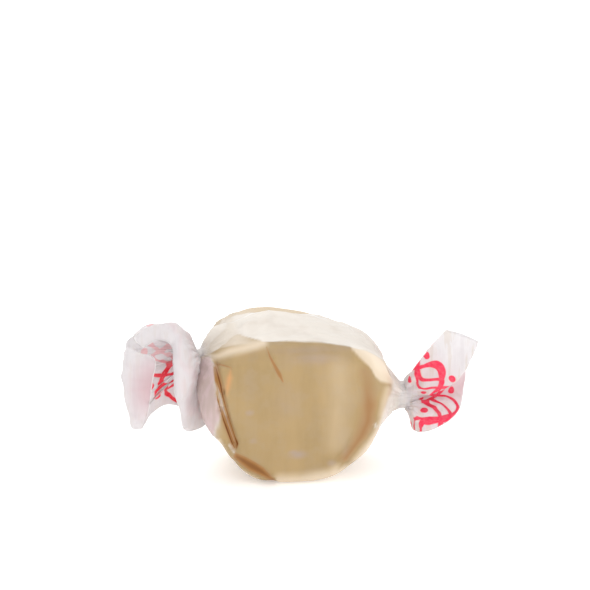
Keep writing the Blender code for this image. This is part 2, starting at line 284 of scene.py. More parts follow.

# In the same way: the painted soft shade along the right rim, the painted orange glow beside the
# slot, and the grey paper inside it. Then how far outside and inside its line each one fades.
RIM_SHADE = (
    (9.0, 14.8, -0.6), (9.5, 12.0, 0.4), (9.3, 9.5, 0.5), (8.4, 7.4, 0.4), (7.2, 5.6, 0.3),
    (6.1, 3.9, 0.35), (5.1, 2.5, -0.8),
)
RIM_TONE = -0.28
GLOW_LINE = ((-10.75, 18.2, 0.0), (-10.9, 17.2, 0.32), (-11.2, 15.6, 0.28), (-11.3, 14.2, -0.2))
MIST_LINE = (
    (-12.9, 16.8, -0.06), (-12.45, 15.2, 0.08), (-12.15, 13.9, 0.16), (-11.85, 12.6, 0.12),
    (-11.25, 10.6, 0.02), (-10.7, 8.8, 0.0), (-10.25, 7.4, -0.02),
)
RIM_FADE = (-1.6, 0.9)
GLOW_FADE = (-0.55, 0.5)
MIST_FADE = (-0.1, 0.1)
# How far below 0 the tone is where it shows each of the three browns of painted shade.
BROWN_PLACES = (0.16, 0.46, 0.9)

# How the marks' plane leans for points behind the face: what they lose in X and gain in Z.
MARK_LEAN = (0.14, 0.32)
# How far behind that plane the painted lines end and start to fade.
PAINTED_BEHIND = (5.0, 2.5)
# A narrow mark is flat in its middle, up to this share of its half width.
MARK_CORE = 0.35
NARROW_MARK = 0.5

# Soft hazy spots on the front, as (X, Z, half width, half height, strength).
HAZE_SPOTS = (
    (1.5, 19.5, 4.2, 1.2, 0.65),
    (0.5, 20.9, 8.0, 0.9, 0.45),
    (-7.5, 7.3, 0.8, 0.6, 0.6),
    (-8.0, 11.7, 0.8, 0.6, 0.8),
    (-0.9, 4.9, 1.6, 0.8, 1.0),
    (-1.6, 5.3, 0.9, 0.5, 1.0),
    (4.0, 3.4, 0.9, 0.7, 0.8),
    (6.2, 5.0, 0.9, 1.6, 0.5),
    (9.0, 9.0, 1.2, 1.8, 0.2),
    (-3.0, 13.0, 2.6, 3.6, 0.22),
    (-8.0, 16.0, 1.6, 3.0, 0.15),
)

# Places where the paper stands off the candy, as (X, turn, half width, half turn, lift).
BULGES = (
    (-11.2, 466.0, 2.8, 30.0, 1.7),
    (-11.2, 106.0, 2.8, 30.0, 1.6),
    (-12.9, 327.0, 1.7, 50.0, 1.8),
    (-9.0, 440.0, 1.6, 10.0, 0.3),
    (-7.0, 450.0, 1.3, 26.0, 0.35),
    (-4.2, 462.0, 1.2, 20.0, 0.25),
    (9.5, 318.0, 3.2, 24.0, 0.4),
    (4.0, 458.0, 6.0, 20.0, 0.25),
)

# The white of the doubled paper on the top, as (X, turn of its front edge, turn of its back), how
# soft its edges are, and how much less white it is towards the left neck, from where to where.
VEIL = (
    (-13.6, 20.0, 170.0), (-12.0, 35.0, 159.0), (-10.5, 51.0, 148.0), (-8.7, 66.0, 136.0),
    (-8.0, 57.5, 132.0), (-7.0, 50.5, 127.0), (-5.5, 44.0, 121.0), (0.0, 45.0, 116.0),
    (2.0, 46.0, 119.0), (5.0, 48.0, 135.0), (8.0, 49.5, 152.0), (9.9, 50.0, 160.0),
    (12.0, 49.0, 165.0), (13.2, 42.0, 170.0), (15.2, 5.0, 175.0),
)
VEIL_EDGE = 1.6
VEIL_THIN = 0.42
VEIL_THIN_PAST = (6.0, 9.5)

# White paper that leaves the face: the left film and the right web, each edge as (Z, X), how soft
# it is, how white each is, and over which heights the film ends and the web starts.
FILM_EDGE = (
    (4.2, -13.4), (6.3, -12.8), (8.9, -12.65), (10.8, -12.3), (12.3, -11.75), (13.4, -12.2),
    (14.9, -12.7), (18.3, -12.9), (20.0, -13.4),
)
FILM_WHITE = (
    (4.5, 0.25), (6.5, 0.6), (8.8, 0.72), (10.4, 0.62), (13.0, 0.44), (16.0, 0.5), (18.0, 0.62),
)
WEB_EDGE = ((6.3, 10.8), (8.5, 10.7), (10.8, 11.3), (12.8, 12.0), (14.9, 12.9), (20.0, 16.0))
WEB_WHITE = 0.7
FILM_FADE = 0.35
FILM_TOP = (20.0, 21.0)
WEB_FADE = 0.5
WEB_FOOT = (5.5, 9.0)

# The paper between the veil and the face's top left corner, partly loose and partly paler with
# painted light on the top: its middle, its half width, the turns that it starts over, how cream
# and how loose it is.
WEDGE_X = -9.2
WEDGE_HALF = 4.6
WEDGE_TURNS = (37.0, 43.0)
WEDGE_CREAM = 0.42
WEDGE_LOOSE = 0.35

# The strip behind the veil, cream with painted light on the top: the turns that it starts and
# ends over, its middle, where it fades on either side of that, and how cream it is.
STRIP_START = (100, 112)
STRIP_END = (125, 175)
STRIP_X = -2.0
STRIP_FADE = (5.0, 10.0)
STRIP_CREAM = 0.6

# Paper turns white over these gaps from the candy, up to this share, but for a quiet place in
# front of the left neck, as (turn, half turn) and from where to where along X.
STANDING_GAP = (0.1, 1.1)
STANDING_WHITE = 0.9
QUIET_TURN = (335, 75)
QUIET_PAST = (8.5, 10.0)
QUIET_SHARE = 0.9
CALM_CRINKLE = 0.06

# How loose the fans are, how much of the print shows on the left one's outside, and which rows of
# a fan the print is measured along. The left one's print is drawn in, the right one's moved on.
LEFT_FAN_LOOSE = 1.0
RIGHT_FAN_LOOSE = 0.8
LEFT_OUTER_INK = 0.02
PRINT_ROW = 0.33
LEFT_PRINT_STRETCH = 0.6
RIGHT_PRINT_START = 44.3

# Where the inner print shines pink through the left fan, as (share of the way round, half of
# it, distance from the neck, half of it, strength), and where the right flap's shade is painted
# on its curl.
BLUSHES = (
    (0.2, 0.15, 18.5, 5.5, 1.0),
    (0.96, 0.1, 6.0, 4.5, 0.35),
    (0.04, 0.08, 5.0, 4.5, 0.35),
)
SHADE = (0.62, 0.11)
SHADE_PAST = (1.0, 4.0)
# The left fan's inner print is fainter at its start and after its middle: (least share, from, to).
INK_START = (0.4, 0.15, 0.25)
INK_END = (0.25, 0.52, 0.6)

# The back of the top swells on the left and sags on the right, as (X, rise), past these depths
# and heights.
BACK_RISE = (
    (-14.0, 0.2), (-10.0, 1.0), (-6.0, 1.45), (-3.0, 1.3), (2.0, 0.5), (6.0, -0.35), (12.0, -0.5),
)
RISE_BEHIND = (-5.0, 7.0)
RISE_ABOVE = (15.0, 20.0)


# ---------------------------------------------------------------- shapes


def face_distance(x, z, inset):
    """Distance of points in the XZ plane from the face's outline, negative inside it."""
    lean_cos = math.cos(FACE_LEAN)
    lean_sin = math.sin(FACE_LEAN)
    rise = z - FACE_CENTRE_Z
    along = x * lean_cos - rise * lean_sin
    up = x * lean_sin + rise * lean_cos
    above = up > 0
    left = along < 0
    half_width = FACE_HALF_WIDTH - inset
    half_height = np.where(above, FACE_RISE, FACE_DROP) - inset
    power = np.where(
        above,
        np.where(left, TOP_LEFT_POWER, TOP_RIGHT_POWER),
        np.where(left, LOW_LEFT_POWER, LOW_RIGHT_POWER),
    )
    across = np.abs(along) + TINY
    height = np.abs(up) + TINY
    level = ((across / half_width) ** power + (height / half_height) ** power) ** (1 / power)
    slope_across = (across / half_width) ** (power - 1) / half_width
    slope_height = (height / half_height) ** (power - 1) / half_height
    slope = np.hypot(slope_across, slope_height) * level ** (1 - power)
    side = (level - 1) / slope
    foot = inset - z
    near = np.maximum(FOOT_ROUNDING - np.abs(side - foot), 0) / FOOT_ROUNDING
    return np.maximum(side, foot) + near * near * FOOT_ROUNDING / 4


def candy_distance(x, y, z, inset, rim_radius):
    """Distance of points from the candy's rounded skin, negative inside it."""
    radius = rim_radius - inset
    side = face_distance(x, z, inset) + radius
    end = np.abs(y) - (HALF_DEPTH - inset) + radius
    inner = np.minimum(np.maximum(side, end), 0)
    return inner + np.hypot(np.maximum(side, 0), np.maximum(end, 0)) - radius


def reach(distance, start, direction):
    """How far it is from points inside, along a direction, to where distance is zero."""
    near = np.zeros(direction[1].shape)
    far = np.full(direction[1].shape, FARTHEST)
    for _ in range(HALVINGS):
        middle = (near + far) / 2
        outside = distance(*(origin + middle * part for origin, part in zip(start, direction))) > 0
        far = np.where(outside, middle, far)
        near = np.where(outside, near, middle)
    return near


def smooth(value, low, high):
    """0 below low, 1 above high and a smooth step between them."""
    share = np.clip((value - low) / (high - low), 0, 1)
    return share * share * (3 - 2 * share)


def hump(value, middle, half):
    """1 at the middle, falling smoothly to 0 at half on either side."""
    return 1 - smooth(np.abs(value - middle), 0, half)


def spline(points, position):
    """Points of a Catmull-Rom curve through the given points, at positions from 0 to 1."""
    points = np.asarray(points, dtype=float)
    if points.ndim == 1:
        points = points[:, None]
    first = 2 * points[0] - points[1]
    last = 2 * points[-1] - points[-2]
    padded = np.vstack([first, points, last])
    place = np.clip(position, 0, 1) * (len(points) - 1)
    index = np.minimum(place.astype(int), len(points) - 2)
    t = (place - index)[:, None]
    before, start, end, after = (padded[index + k] for k in range(4))
    bend = 2 * before - 5 * start + 4 * end - after
    turn = 3 * (start - end) + after - before
    return start + 0.5 * t * (end - before + t * (bend + t * turn))


def line_distance(x, z, points):
    """Distance of points in the XZ plane from a line through the given points."""
    nearest = np.full(np.shape(x), np.inf)
    for (x0, z0), (x1, z1) in zip(points, points[1:]):
        length = (x1 - x0) ** 2 + (z1 - z0) ** 2
        share = np.clip(((x - x0) * (x1 - x0) + (z - z0) * (z1 - z0)) / length, 0, 1)
        apart = np.hypot(x - x0 - share * (x1 - x0), z - z0 - share * (z1 - z0))
        nearest = np.minimum(nearest, apart)
    return nearest


def front_marks(x, y, z):
    """Lift, tone, looseness, haze and film of the marks on the front, at points of the skin. The
    tone paints light above 0 and shade below it.
    """
    front = smooth(-y, *MARKS_AHEAD)
    x = x - MARK_LEAN[0] * (y + HALF_DEPTH)
    z = z + MARK_LEAN[1] * (y + HALF_DEPTH)
    lift, brown, lit_cream, loose, haze_and_shade = np.zeros((5, *np.shape(x)))
    for points, half, rise, tone, looseness in FRONT_MARKS:
        core = MARK_CORE * half if half < NARROW_MARK else 0
        mark = (1 - smooth(line_distance(x, z, points), core, half)) * front
        lift += rise * mark
        # Brown is painted shade; the cream is painted light.
        brown = np.maximum(brown, -tone * mark)
        lit_cream = np.maximum(lit_cream, tone * mark)
        loose = np.maximum(loose, looseness * mark)
    # The facet's cream is painted light from above.
    over = z - np.interp(x, *zip(*FACET_EDGE))
    facet_light = sum(part * smooth(over, low, high) for part, low, high in FACET_STEPS)
    facet_light *= smooth(x, *FACET_START)
    lit_cream = np.maximum(lit_cream, facet_light * smooth(-y, *FACET_AHEAD))
    ahead = smooth(-y, *SIDES_AHEAD)
    film = smooth(np.interp(z, *zip(*FILM_EDGE)) - x, 0.0, FILM_FADE)
    film *= 1 - smooth(z, *FILM_TOP)
    film *= ahead
    web = smooth(x - np.interp(z, *zip(*WEB_EDGE)), 0.0, WEB_FADE)
    web *= smooth(z, *WEB_FOOT)
    web *= ahead
    loose = np.maximum(loose, film * np.interp(z, *zip(*FILM_WHITE)))
    loose = np.maximum(loose, WEB_WHITE * web)
    haze_and_shade = np.maximum(haze_and_shade, film)
    for spot_x, spot_z, half_width, half_height, strength in HAZE_SPOTS:
        away = np.hypot((x - spot_x) / half_width, (z - spot_z) / half_height)
        haze_and_shade = np.maximum(haze_and_shade, strength * (1 - smooth(away, 0, 1.2)) * front)
    brown = np.minimum(brown, 1)
    lit_cream = np.minimum(lit_cream, 1)
    # The tone: painted light above 0, painted shade below it.
    tone = lit_cream * (1 - smooth(brown, 0.05, 0.15)) - brown * (1 - smooth(lit_cream, 0.3, 0.8))
    return lift, tone, loose, haze_and_shade, film


def back_rise(x, y, z):
    """How far the back of the top stands above the plain form."""
    rise = np.interp(x, *zip(*BACK_RISE))
    return rise * smooth(y, *RISE_BEHIND) * smooth(z, *RISE_ABOVE)


# ---------------------------------------------------------------- the paper's shape


def axis_point(x):
    """The point at x on the straight line from one neck to the other."""
    share = (x - LEFT_NECK[0]) / (RIGHT_NECK[0] - LEFT_NECK[0])
    y = LEFT_NECK[1] + share * (RIGHT_NECK[1] - LEFT_NECK[1])
    z = LEFT_NECK[2] + share * (RIGHT_NECK[2] - LEFT_NECK[2])
    return y, z


def upper_hull(x, height):
    """Heights of the tight band that is drawn over the points (x, height)."""
    kept = []
    for point in zip(x, height):
        while len(kept) > 1:
            (x0, h0), (x1, h1) = kept[-2:]
            if (x1 - x0) * (point[1] - h0) < (point[0] - x0) * (h1 - h0):
                break
            kept.pop()
        kept.append(point)
    hull_x, hull_height = zip(*kept)
    return np.interp(x, hull_x, hull_height)


def roll_angles(distance):
    """Angles of the paper's columns, evenly spaced along the paper round the candy's middle."""
    angle = np.linspace(ROLL_START, ROLL_START + ROLL_SPAN, ROLL_SAMPLES)
    y0, z0 = axis_point(0.0)
    turn = np.radians(angle)
    radius = reach(distance, (0.0, y0, z0), (0.0, -np.cos(turn), np.sin(turn)))
    y = -radius * np.cos(turn)
    z = radius * np.sin(turn)
    length = np.concatenate([[0], np.cumsum(np.hypot(np.diff(y), np.diff(z)))])
    return np.interp(np.linspace(0, length[-1], COLUMNS), length, angle)


def body_stations(rows):
    """Places along X of the paper's rows, closer together near the necks and the left rim."""
    place = np.linspace(LEFT_NECK[0], RIGHT_NECK[0], STATION_SAMPLES)
    dense = np.ones(len(place))
    for middle, half, share in CROWDED:
        dense += share * hump(place, middle, half)
    share = np.concatenate([[0], np.cumsum((dense[1:] + dense[:-1]) / 2)])
    return np.interp(np.linspace(0, share[-1], rows), share, place)


def tight_paper(distance):
    """Distance of the paper from the line between the necks, drawn tight over the candy.

    The table has a row for each station along X and a column for each direction round it.
    """
    stations = body_stations(HULL_STATIONS)
    turn = np.radians(np.linspace(0, 360, HULL_TURNS))
    y0, z0 = axis_point(stations)
    start = (stations[:, None], y0[:, None], z0[:, None])
    direction = (0.0, -np.cos(turn)[None, :], np.sin(turn)[None, :])
    radius = reach(distance, start, direction)
    radius[0] = LEFT_NECK_RADIUS
    radius[-1] = RIGHT_NECK_RADIUS
    left = stations < 0
    for column in range(HULL_TURNS):
        bare = radius[:, column]
        on_left = upper_hull(stations, bare**LEFT_SAG) ** (1 / LEFT_SAG)
        on_right = upper_hull(stations, bare**RIGHT_SAG) ** (1 / RIGHT_SAG)
        radius[:, column] = np.where(left, on_left, on_right)
    return stations, radius


def look_up(table, x, turn):
    """Read the table of distances at places along X and directions in degrees."""
    stations, radius = table
    row = np.clip(np.searchsorted(stations, x) - 1, 0, len(stations) - 2)
    down = (x - stations[row]) / (stations[row + 1] - stations[row])
    place = (turn % 360) / 360 * (HULL_TURNS - 1)
    column = np.minimum(place.astype(int), HULL_TURNS - 2)
    across = place - column
    near = radius[row, column] * (1 - across) + radius[row, column + 1] * across
    far = radius[row + 1, column] * (1 - across) + radius[row + 1, column + 1] * across
    return near * (1 - down) + far * down


def tight_point(table, x, turn):
    """Points of the tight paper."""
    radius = look_up(table, x, turn)
    y0, z0 = axis_point(x)
    radians = np.radians(turn)
    return np.stack([x, y0 - radius * np.cos(radians), z0 + radius * np.sin(radians)], axis=-1)


def tight_normal(table, x, turn):
    """Outward directions of the tight paper."""
    ahead = np.clip(x + SLOPE_STEP, LEFT_NECK[0], RIGHT_NECK[0])
    behind = np.clip(x - SLOPE_STEP, LEFT_NECK[0], RIGHT_NECK[0])
    along = tight_point(table, ahead, turn) - tight_point(table, behind, turn)
    around = tight_point(table, x, turn + SLOPE_TURN) - tight_point(table, x, turn - SLOPE_TURN)
    normal = np.cross(along, around)
    return normal / np.linalg.norm(normal, axis=-1, keepdims=True)


def neck_angles(folds):
    """Angles of the paper's columns round a neck, spread a little so that they close it."""
    angle = spline([fold[0] for fold in folds], np.linspace(0, 1, COLUMNS))[:, 0]
    middle = (angle[0] + angle[-1]) / 2
    return middle + (angle - middle) * NECK_CLOSING


def pleats(turn, ridges):
    """Height from 0 to 1 of uneven sharp pleats at angles round a neck."""
    height = np.zeros(np.shape(turn))
    for angle, half, share in ridges:
        apart = np.abs((turn - angle + 180) % 360 - 180)
        height = np.maximum(height, share * np.clip(1 - apart / half, 0, 1) ** PLEAT_POWER)
    return height


def gather_ridges(draw):
    """Uneven places round a neck for the pleats, each as (angle, half width, height)."""
    step = 360 / GATHER_RIDGES
    return [
        (
            (k + draw.uniform(-GATHER_STRAY, GATHER_STRAY)) * step,
            draw.uniform(*GATHER_SHARPNESS),
            draw.uniform(*GATHER_HEIGHTS),
        )
        for k in range(GATHER_RIDGES)
    ]


def body_paper(table, angles, gathers, lap_lift, gather_height):
    """The paper over the candy: its points, their turns round it in degrees, and their marks."""
    stations = body_stations(BODY_ROWS)
    left_share = smooth(-stations, GATHER_START, -LEFT_NECK[0])
    right_share = smooth(stations, GATHER_START, RIGHT_NECK[0])
    middle = 1 - left_share - right_share
    turn = (
        middle[:, None] * angles
        + left_share[:, None] * neck_angles(LEFT_FOLDS)
        + right_share[:, None] * neck_angles(RIGHT_FOLDS)
    )
    x = np.broadcast_to(stations[:, None], turn.shape)
    point = tight_point(table, x, turn)

    front = smooth(-point[..., 1], *FLAT_FRONT)
    side = np.maximum(left_share, right_share)[:, None]
    flat = np.where(
        x < 0,
        smooth(-x, LEFT_FRONT_START, -LEFT_NECK[0]),
        smooth(x, RIGHT_FRONT_START, RIGHT_NECK[0]),
    )
    side = side * (1 - front) + flat * front
    neck_radius = np.where(x < 0, LEFT_NECK_RADIUS, RIGHT_NECK_RADIUS)
    room = np.clip((look_up(table, x, turn) - neck_radius) / GATHER_ROOM, 0, 1)
    left_gathers, right_gathers = gathers
    calm = 1 - LEFT_CALM * hump(turn, *CALM_TURN)
    pleat = np.where(x < 0, pleats(turn, left_gathers) * calm, pleats(turn, right_gathers))
    groove = GROOVE_DEPTH * (1 - room) * side * (pleat - GROOVE_LEVEL)
    meeting = turn[:, :1] + 360 - LAP_MARGIN
    lap = turn[:, -1:] - turn[:, :1] - 360
    over = smooth(turn, meeting - LAP_RISE, meeting) * smooth(lap, -LAP_CLOSING, 0)
    lift = gather_height * pleat * room * np.sqrt(side) + groove + lap_lift * over
    for bulge_x, bulge_turn, half_width, half_turn, height in BULGES:
        lift += height * hump(x, bulge_x, half_width) * hump(turn, bulge_turn, half_turn)
    normal = tight_normal(table, x, turn)
    point = point + normal * lift[..., None]
    mark_lift, tone, mark_loose, haze_and_shade, film = front_marks(*np.moveaxis(point, -1, 0))
    point = point + normal * mark_lift[..., None]
    return point, turn, {"tone": tone, "mark_loose": mark_loose, "haze_and_shade": haze_and_shade, "film": film}


def fan_paper(neck, radius, folds, outward, gathers, pleat_height):
    """One fan, from the neck's ring to the cut end of the paper."""
    position = np.linspace(0, 1, COLUMNS)
    ring_angle = neck_angles(folds)
    ring_turn = np.radians(ring_angle)
    middle_line = spline([fold[1] for fold in folds], position)
    end_line = spline([fold[2] for fold in folds], position)
    ring = np.stack(
        [
            np.full(COLUMNS, NECK_LENGTH),
            radius * np.sin(ring_turn),
            radius * np.cos(ring_turn),
        ],
        axis=-1,
    )
    w = np.linspace(0, 1, FAN_ROWS + 1)[:, None, None]
    local = ring * (1 - w) * (1 - 2 * w) + middle_line * 4 * w * (1 - w)
    local += end_line * w * (2 * w - 1)
    point = np.stack(
        [neck[0] + outward * local[..., 0], neck[1] - local[..., 2], neck[2] + local[..., 1]],
        axis=-1,
    )
    along = np.gradient(point, axis=0) * outward
    around = np.gradient(point, axis=1)
    normal = np.cross(along, around)
    normal /= np.linalg.norm(normal, axis=-1, keepdims=True)
    w = w[..., 0]
    rise = smooth(w, *FAN_PLEAT_START) * (1 - smooth(w, *FAN_PLEAT_END))
    lift = pleat_height * (pleats(ring_angle, gathers) - FAN_PLEAT_LEVEL) * rise
    return point + normal * lift[..., None]


def lengths_along(point, axis):
    """Running length of the grid's lines, from their first point."""
    steps = np.linalg.norm(np.diff(point, axis=axis), axis=-1)
    start = np.zeros_like(np.take(steps, [0], axis=axis))
    return np.concatenate([start, np.cumsum(steps, axis=axis)], axis=axis)


def veil_share(x, place):
    """How white the doubled paper is on the top."""
    veil_x, veil_front, veil_back = zip(*VEIL)
    front_turn = np.interp(x, veil_x, veil_front)
    back_turn = np.interp(x, veil_x, veil_back)
    started = smooth(place, front_turn - VEIL_EDGE, front_turn + VEIL_EDGE)
    ended = smooth(place, back_turn - VEIL_EDGE, back_turn + VEIL_EDGE)
    return started * (1 - ended) * (1 - VEIL_THIN * smooth(-x, *VEIL_THIN_PAST))


def tone_and_looseness(body, turn, gap, marks):
    """The tone of the paper over the candy, and how loose it is, at its points."""
    x = body[..., 0]
    place = turn % 360
    # The wedge and the strip on the top are paler with painted light; the wedge is loose paper too.
    wedge = smooth(place, *WEDGE_TURNS) * (place < 180) * hump(x, WEDGE_X, WEDGE_HALF)
    strip = smooth(place, *STRIP_START) * (1 - smooth(place, *STRIP_END))
    strip *= 1 - smooth(np.abs(x - STRIP_X), *STRIP_FADE)
    lit_top = np.maximum(WEDGE_CREAM * wedge, STRIP_CREAM * strip)
    tone = np.where(lit_top > 0.05, np.maximum(marks["tone"], lit_top), marks["tone"])
    quiet = hump(turn, *QUIET_TURN) * smooth(-x, *QUIET_PAST)
    standing = smooth(gap, *STANDING_GAP) * STANDING_WHITE
    standing *= 1 - QUIET_SHARE * np.maximum(quiet, marks["film"])
    loose = np.maximum.reduce(
        [standing, veil_share(x, place), marks["mark_loose"], WEDGE_LOOSE * wedge]
    )
    return tone, loose * (1 - 0.9 * np.maximum(-tone, 0))


def fan_marks(fan, side_edge):
    """A fan's distances along the paper: from its neck, from its edge and along its print."""
    out = lengths_along(fan, 0)
    across = lengths_along(fan[round(FAN_ROWS * PRINT_ROW)], 0)
    return out, np.minimum(out[-1] - out, side_edge), np.broadcast_to(across, out.shape)


def whole_sheet(settings, candy):
    """The sheet's points from the left cut end to the right one, and its marks at each."""
    draw = np.random.default_rng(settings.seed)
    gathers = (gather_ridges(draw), gather_ridges(draw))
    skin = candy.skin / MM
    clearance = (settings.clearance + settings.wall / 2) / MM
    rim = candy.rim_radius / MM

    def distance(x, y, z):
        return candy_distance(x, y, z, skin, rim) - clearance

    table = tight_paper(distance)
    angles = roll_angles(distance)
    heights = (settings.lap_lift / MM, settings.gather_height / MM)
    body, turn, marks = body_paper(table, angles, gathers, *heights)
    pleat_height = settings.fan_pleat_height / MM
    left = fan_paper(LEFT_NECK, LEFT_NECK_RADIUS, LEFT_FOLDS, -1, gathers[0], pleat_height)
    right = fan_paper(RIGHT_NECK, RIGHT_NECK_RADIUS, RIGHT_FOLDS, 1, gathers[1], pleat_height)

    gap = distance(*np.moveaxis(body, -1, 0))
    tone, loose = tone_and_looseness(body, turn, gap, marks)
    body[..., 2] += back_rise(*np.moveaxis(body, -1, 0))
    body[..., 2] = np.maximum(body[..., 2], settings.wall / MM)

    columns = np.linspace(0, 1, COLUMNS)
    cut_length = lengths_along(left[round(FAN_ROWS * PRINT_ROW)], 0)[-1]
    side_edge = np.minimum(columns, 1 - columns) * cut_length
    out_left, edge_left, across_left = fan_marks(left, side_edge)
    out_right, edge_right, across_right = fan_marks(right, side_edge)
    to_neck = np.minimum(body[..., 0] - LEFT_NECK[0], RIGHT_NECK[0] - body[..., 0])
    inward = np.maximum(-np.clip(to_neck / NECK_FADE, 0, 1), marks["film"] - 1.0)
    edge_body = np.broadcast_to(side_edge, turn.shape)

    ones = np.ones(out_left.shape)
    plain = np.zeros(out_left.shape)
    bare = np.zeros(turn.shape)
    blush = plain
    for share, half_share, far, half_far, strength in BLUSHES:
        spot = hump(columns, share, half_share) * hump(out_left, far, half_far)
        blush = np.maximum(blush, strength * spot)
    # The right flap's painted shade on its curl.
    shade = hump(columns, *SHADE) * smooth(out_right, *SHADE_PAST)
    faint, *start = INK_START
    ink_left = faint + (1 - faint) * smooth(columns, *start)
    faint, *end = INK_END
    ink_left *= 1 - (1 - faint) * smooth(columns, *end)

    parts = {
        "loose": (ones * LEFT_FAN_LOOSE, loose, ones * RIGHT_FAN_LOOSE),
        "tone": (plain, tone, plain),
        "outer_ink": (ones * LEFT_OUTER_INK, bare, ones),
        "inner_ink": (ones * ink_left, bare, ones),
        # On the right fan this mark is the flap's painted shade; elsewhere hazy spots and print
        # blush.
        "haze_and_shade": (blush[::-1], marks["haze_and_shade"], shade),
        "across": (across_left * LEFT_PRINT_STRETCH, bare, across_right + RIGHT_PRINT_START),
        "out": (out_left[::-1], inward, out_right),
        "edge": (edge_left[::-1], edge_body, edge_right),
        "crinkle": (ones, CALM_CRINKLE + (1 - CALM_CRINKLE) * loose, ones),
    }
    point = np.concatenate([left[::-1], body, right])
    return point, {name: np.concatenate(part) for name, part in parts.items()}


def write_marks(mesh, marks):
    """Give a mesh a float attribute for each mark."""
    for mark, value in marks.items():
        attribute = mesh.attributes.new(mark, "FLOAT", "POINT")
        attribute.data.foreach_set("value", value.astype(np.float32).ravel())


def grid_mesh(name, point, marks):
    """A sheet of quads through a grid of points, with a float attribute for each mark."""
    rows, columns = point.shape[:2]
    number = np.arange(rows * columns).reshape(rows, columns)
    quads = np.stack(
        [number[:-1, :-1], number[1:, :-1], number[1:, 1:], number[:-1, 1:]], axis=-1
    )
    mesh = bpy.data.meshes.new(name)
    mesh.from_pydata((point.reshape(-1, 3) * MM).tolist(), [], quads.reshape(-1, 4).tolist())
    write_marks(mesh, marks)
    mesh.shade_smooth()
    return mesh


# ---------------------------------------------------------------- nodes


def arithmetic(operation, turned=False, second=0.0):
    """A method of Wire that adds one Math node."""

    def method(self, other=second):
        first, last = (other, self) if turned else (self, other)
        return self.maths(operation, first, last)

    return method


class Wire:
    """A socket in a node tree. An expression with it adds the Math nodes that it needs."""

    def __init__(self, tree, socket=None):
        self.tree = tree
        self.socket = socket

    def node(self, kind, sockets=None, out=0, stops=None, **settings):
        """Add a node: its settings come first, then the values or links of its sockets."""
        made = self.tree.nodes.new(kind)
        for name, value in settings.items():
            setattr(made, name, value)
        if stops:
            ramp = made.color_ramp
            while len(ramp.elements) < len(stops):
                ramp.elements.new(1.0)
            for element, (position, colour) in zip(ramp.elements, stops):
                element.position = position
                element.color = colour
        for key, value in (sockets or {}).items():
            if isinstance(value, Wire):
                self.tree.links.new(value.socket, made.inputs[key])
            else:
                made.inputs[key].default_value = value
        return Wire(self.tree, made.outputs[out] if made.outputs else None)

    def other(self, out):
        """Another output of the same node."""
        return Wire(self.tree, self.socket.node.outputs[out])

    def maths(self, operation, first, second):
        """A Math node."""
        return self.node("ShaderNodeMath", {0: first, 1: second}, operation=operation)

    __add__ = __radd__ = arithmetic("ADD")
    __mul__ = __rmul__ = arithmetic("MULTIPLY")
    __sub__ = arithmetic("SUBTRACT")
    __rsub__ = arithmetic("SUBTRACT", turned=True)
    __truediv__ = arithmetic("DIVIDE")
    __rtruediv__ = arithmetic("DIVIDE", turned=True)
    __pow__ = arithmetic("POWER")
    __neg__ = arithmetic("MULTIPLY", second=-1.0)
    # The smaller and the larger of two values.
    least = arithmetic("MINIMUM")
    most = arithmetic("MAXIMUM")
    # A value without its sign, and its part after the point.
    size = arithmetic("ABSOLUTE")
    fraction = arithmetic("FRACT")
    sine = arithmetic("SINE")
    cosine = arithmetic("COSINE")

    def step(self, low, high):
        """A smooth step from 0 at low to 1 at high, which may be the lower of the two."""
        return self.node(
            "ShaderNodeMapRange",
            {"Value": self, "From Min": low, "From Max": high},
            interpolation_type="SMOOTHSTEP",
        )

    def mix_value(self, first, second):
        """Two values mixed, with this as the second one's share."""
        return self * second + (1 - self) * first

    def mix(self, first, second):
        """Two colours mixed, with this as the second one's share."""
        return self.node(
            "ShaderNodeMix",
            {0: self, 6: first, 7: second},
            out=2,
            data_type="RGBA",
            clamp_factor=True,
        )


def colour(value):
    """A colour with its alpha."""
    return (*value, 1.0)


def shader_board(name):
    """A new material, and a wire to start its nodes from."""
    finish = bpy.data.materials.new(name)
    finish.use_nodes = True
    finish.node_tree.nodes.clear()
    return finish, Wire(finish.node_tree)


def attribute(board, name):
    """A float attribute of the mesh."""
    return board.node("ShaderNodeAttribute", out="Fac", attribute_name=name)


def noise(board, vector, scale, detail=2.0, roughness=0.5):
    """Noise from 0 to 1."""
    return board.node(
        "ShaderNodeTexNoise",
        {"Vector": vector, "Scale": scale, "Detail": detail, "Roughness": roughness},
    )


def stretched(board, vector, scale):
    """Coordinates scaled by a different amount along each axis."""
    return board.node("ShaderNodeMapping", {"Vector": vector, "Scale": scale})


def line_depth(x, z, lines):
    """How deep points lie inside any of the lines, in millimetres."""
    deepest = None
    for points in lines:
        for (x0, z0, half0), (x1, z1, half1) in zip(points, points[1:]):
            run = x1 - x0
            rise = z1 - z0
            square = run * run + rise * rise
            share = ((x - x0) * (run / square) + (z - z0) * (rise / square)).most(0.0).least(1.0)
            off_x = x - x0 - share * run
            off_z = z - z0 - share * rise
            depth = share * (half1 - half0) + half0 - (off_x * off_x + off_z * off_z) ** 0.5
            deepest = deepest.most(depth) if deepest else depth
    return deepest


def front_plane(board, place):
    """Where points lie in the plane of the marks, in millimetres, and 1 for those on the front."""
    axes = board.node("ShaderNodeSeparateXYZ", {"Vector": place})
    behind = axes.other("Y") / MM + HALF_DEPTH
    x = axes.other("X") / MM - behind * MARK_LEAN[0]
    z = axes.other("Z") / MM + behind * MARK_LEAN[1]
    return x, z, behind.step(*PAINTED_BEHIND)


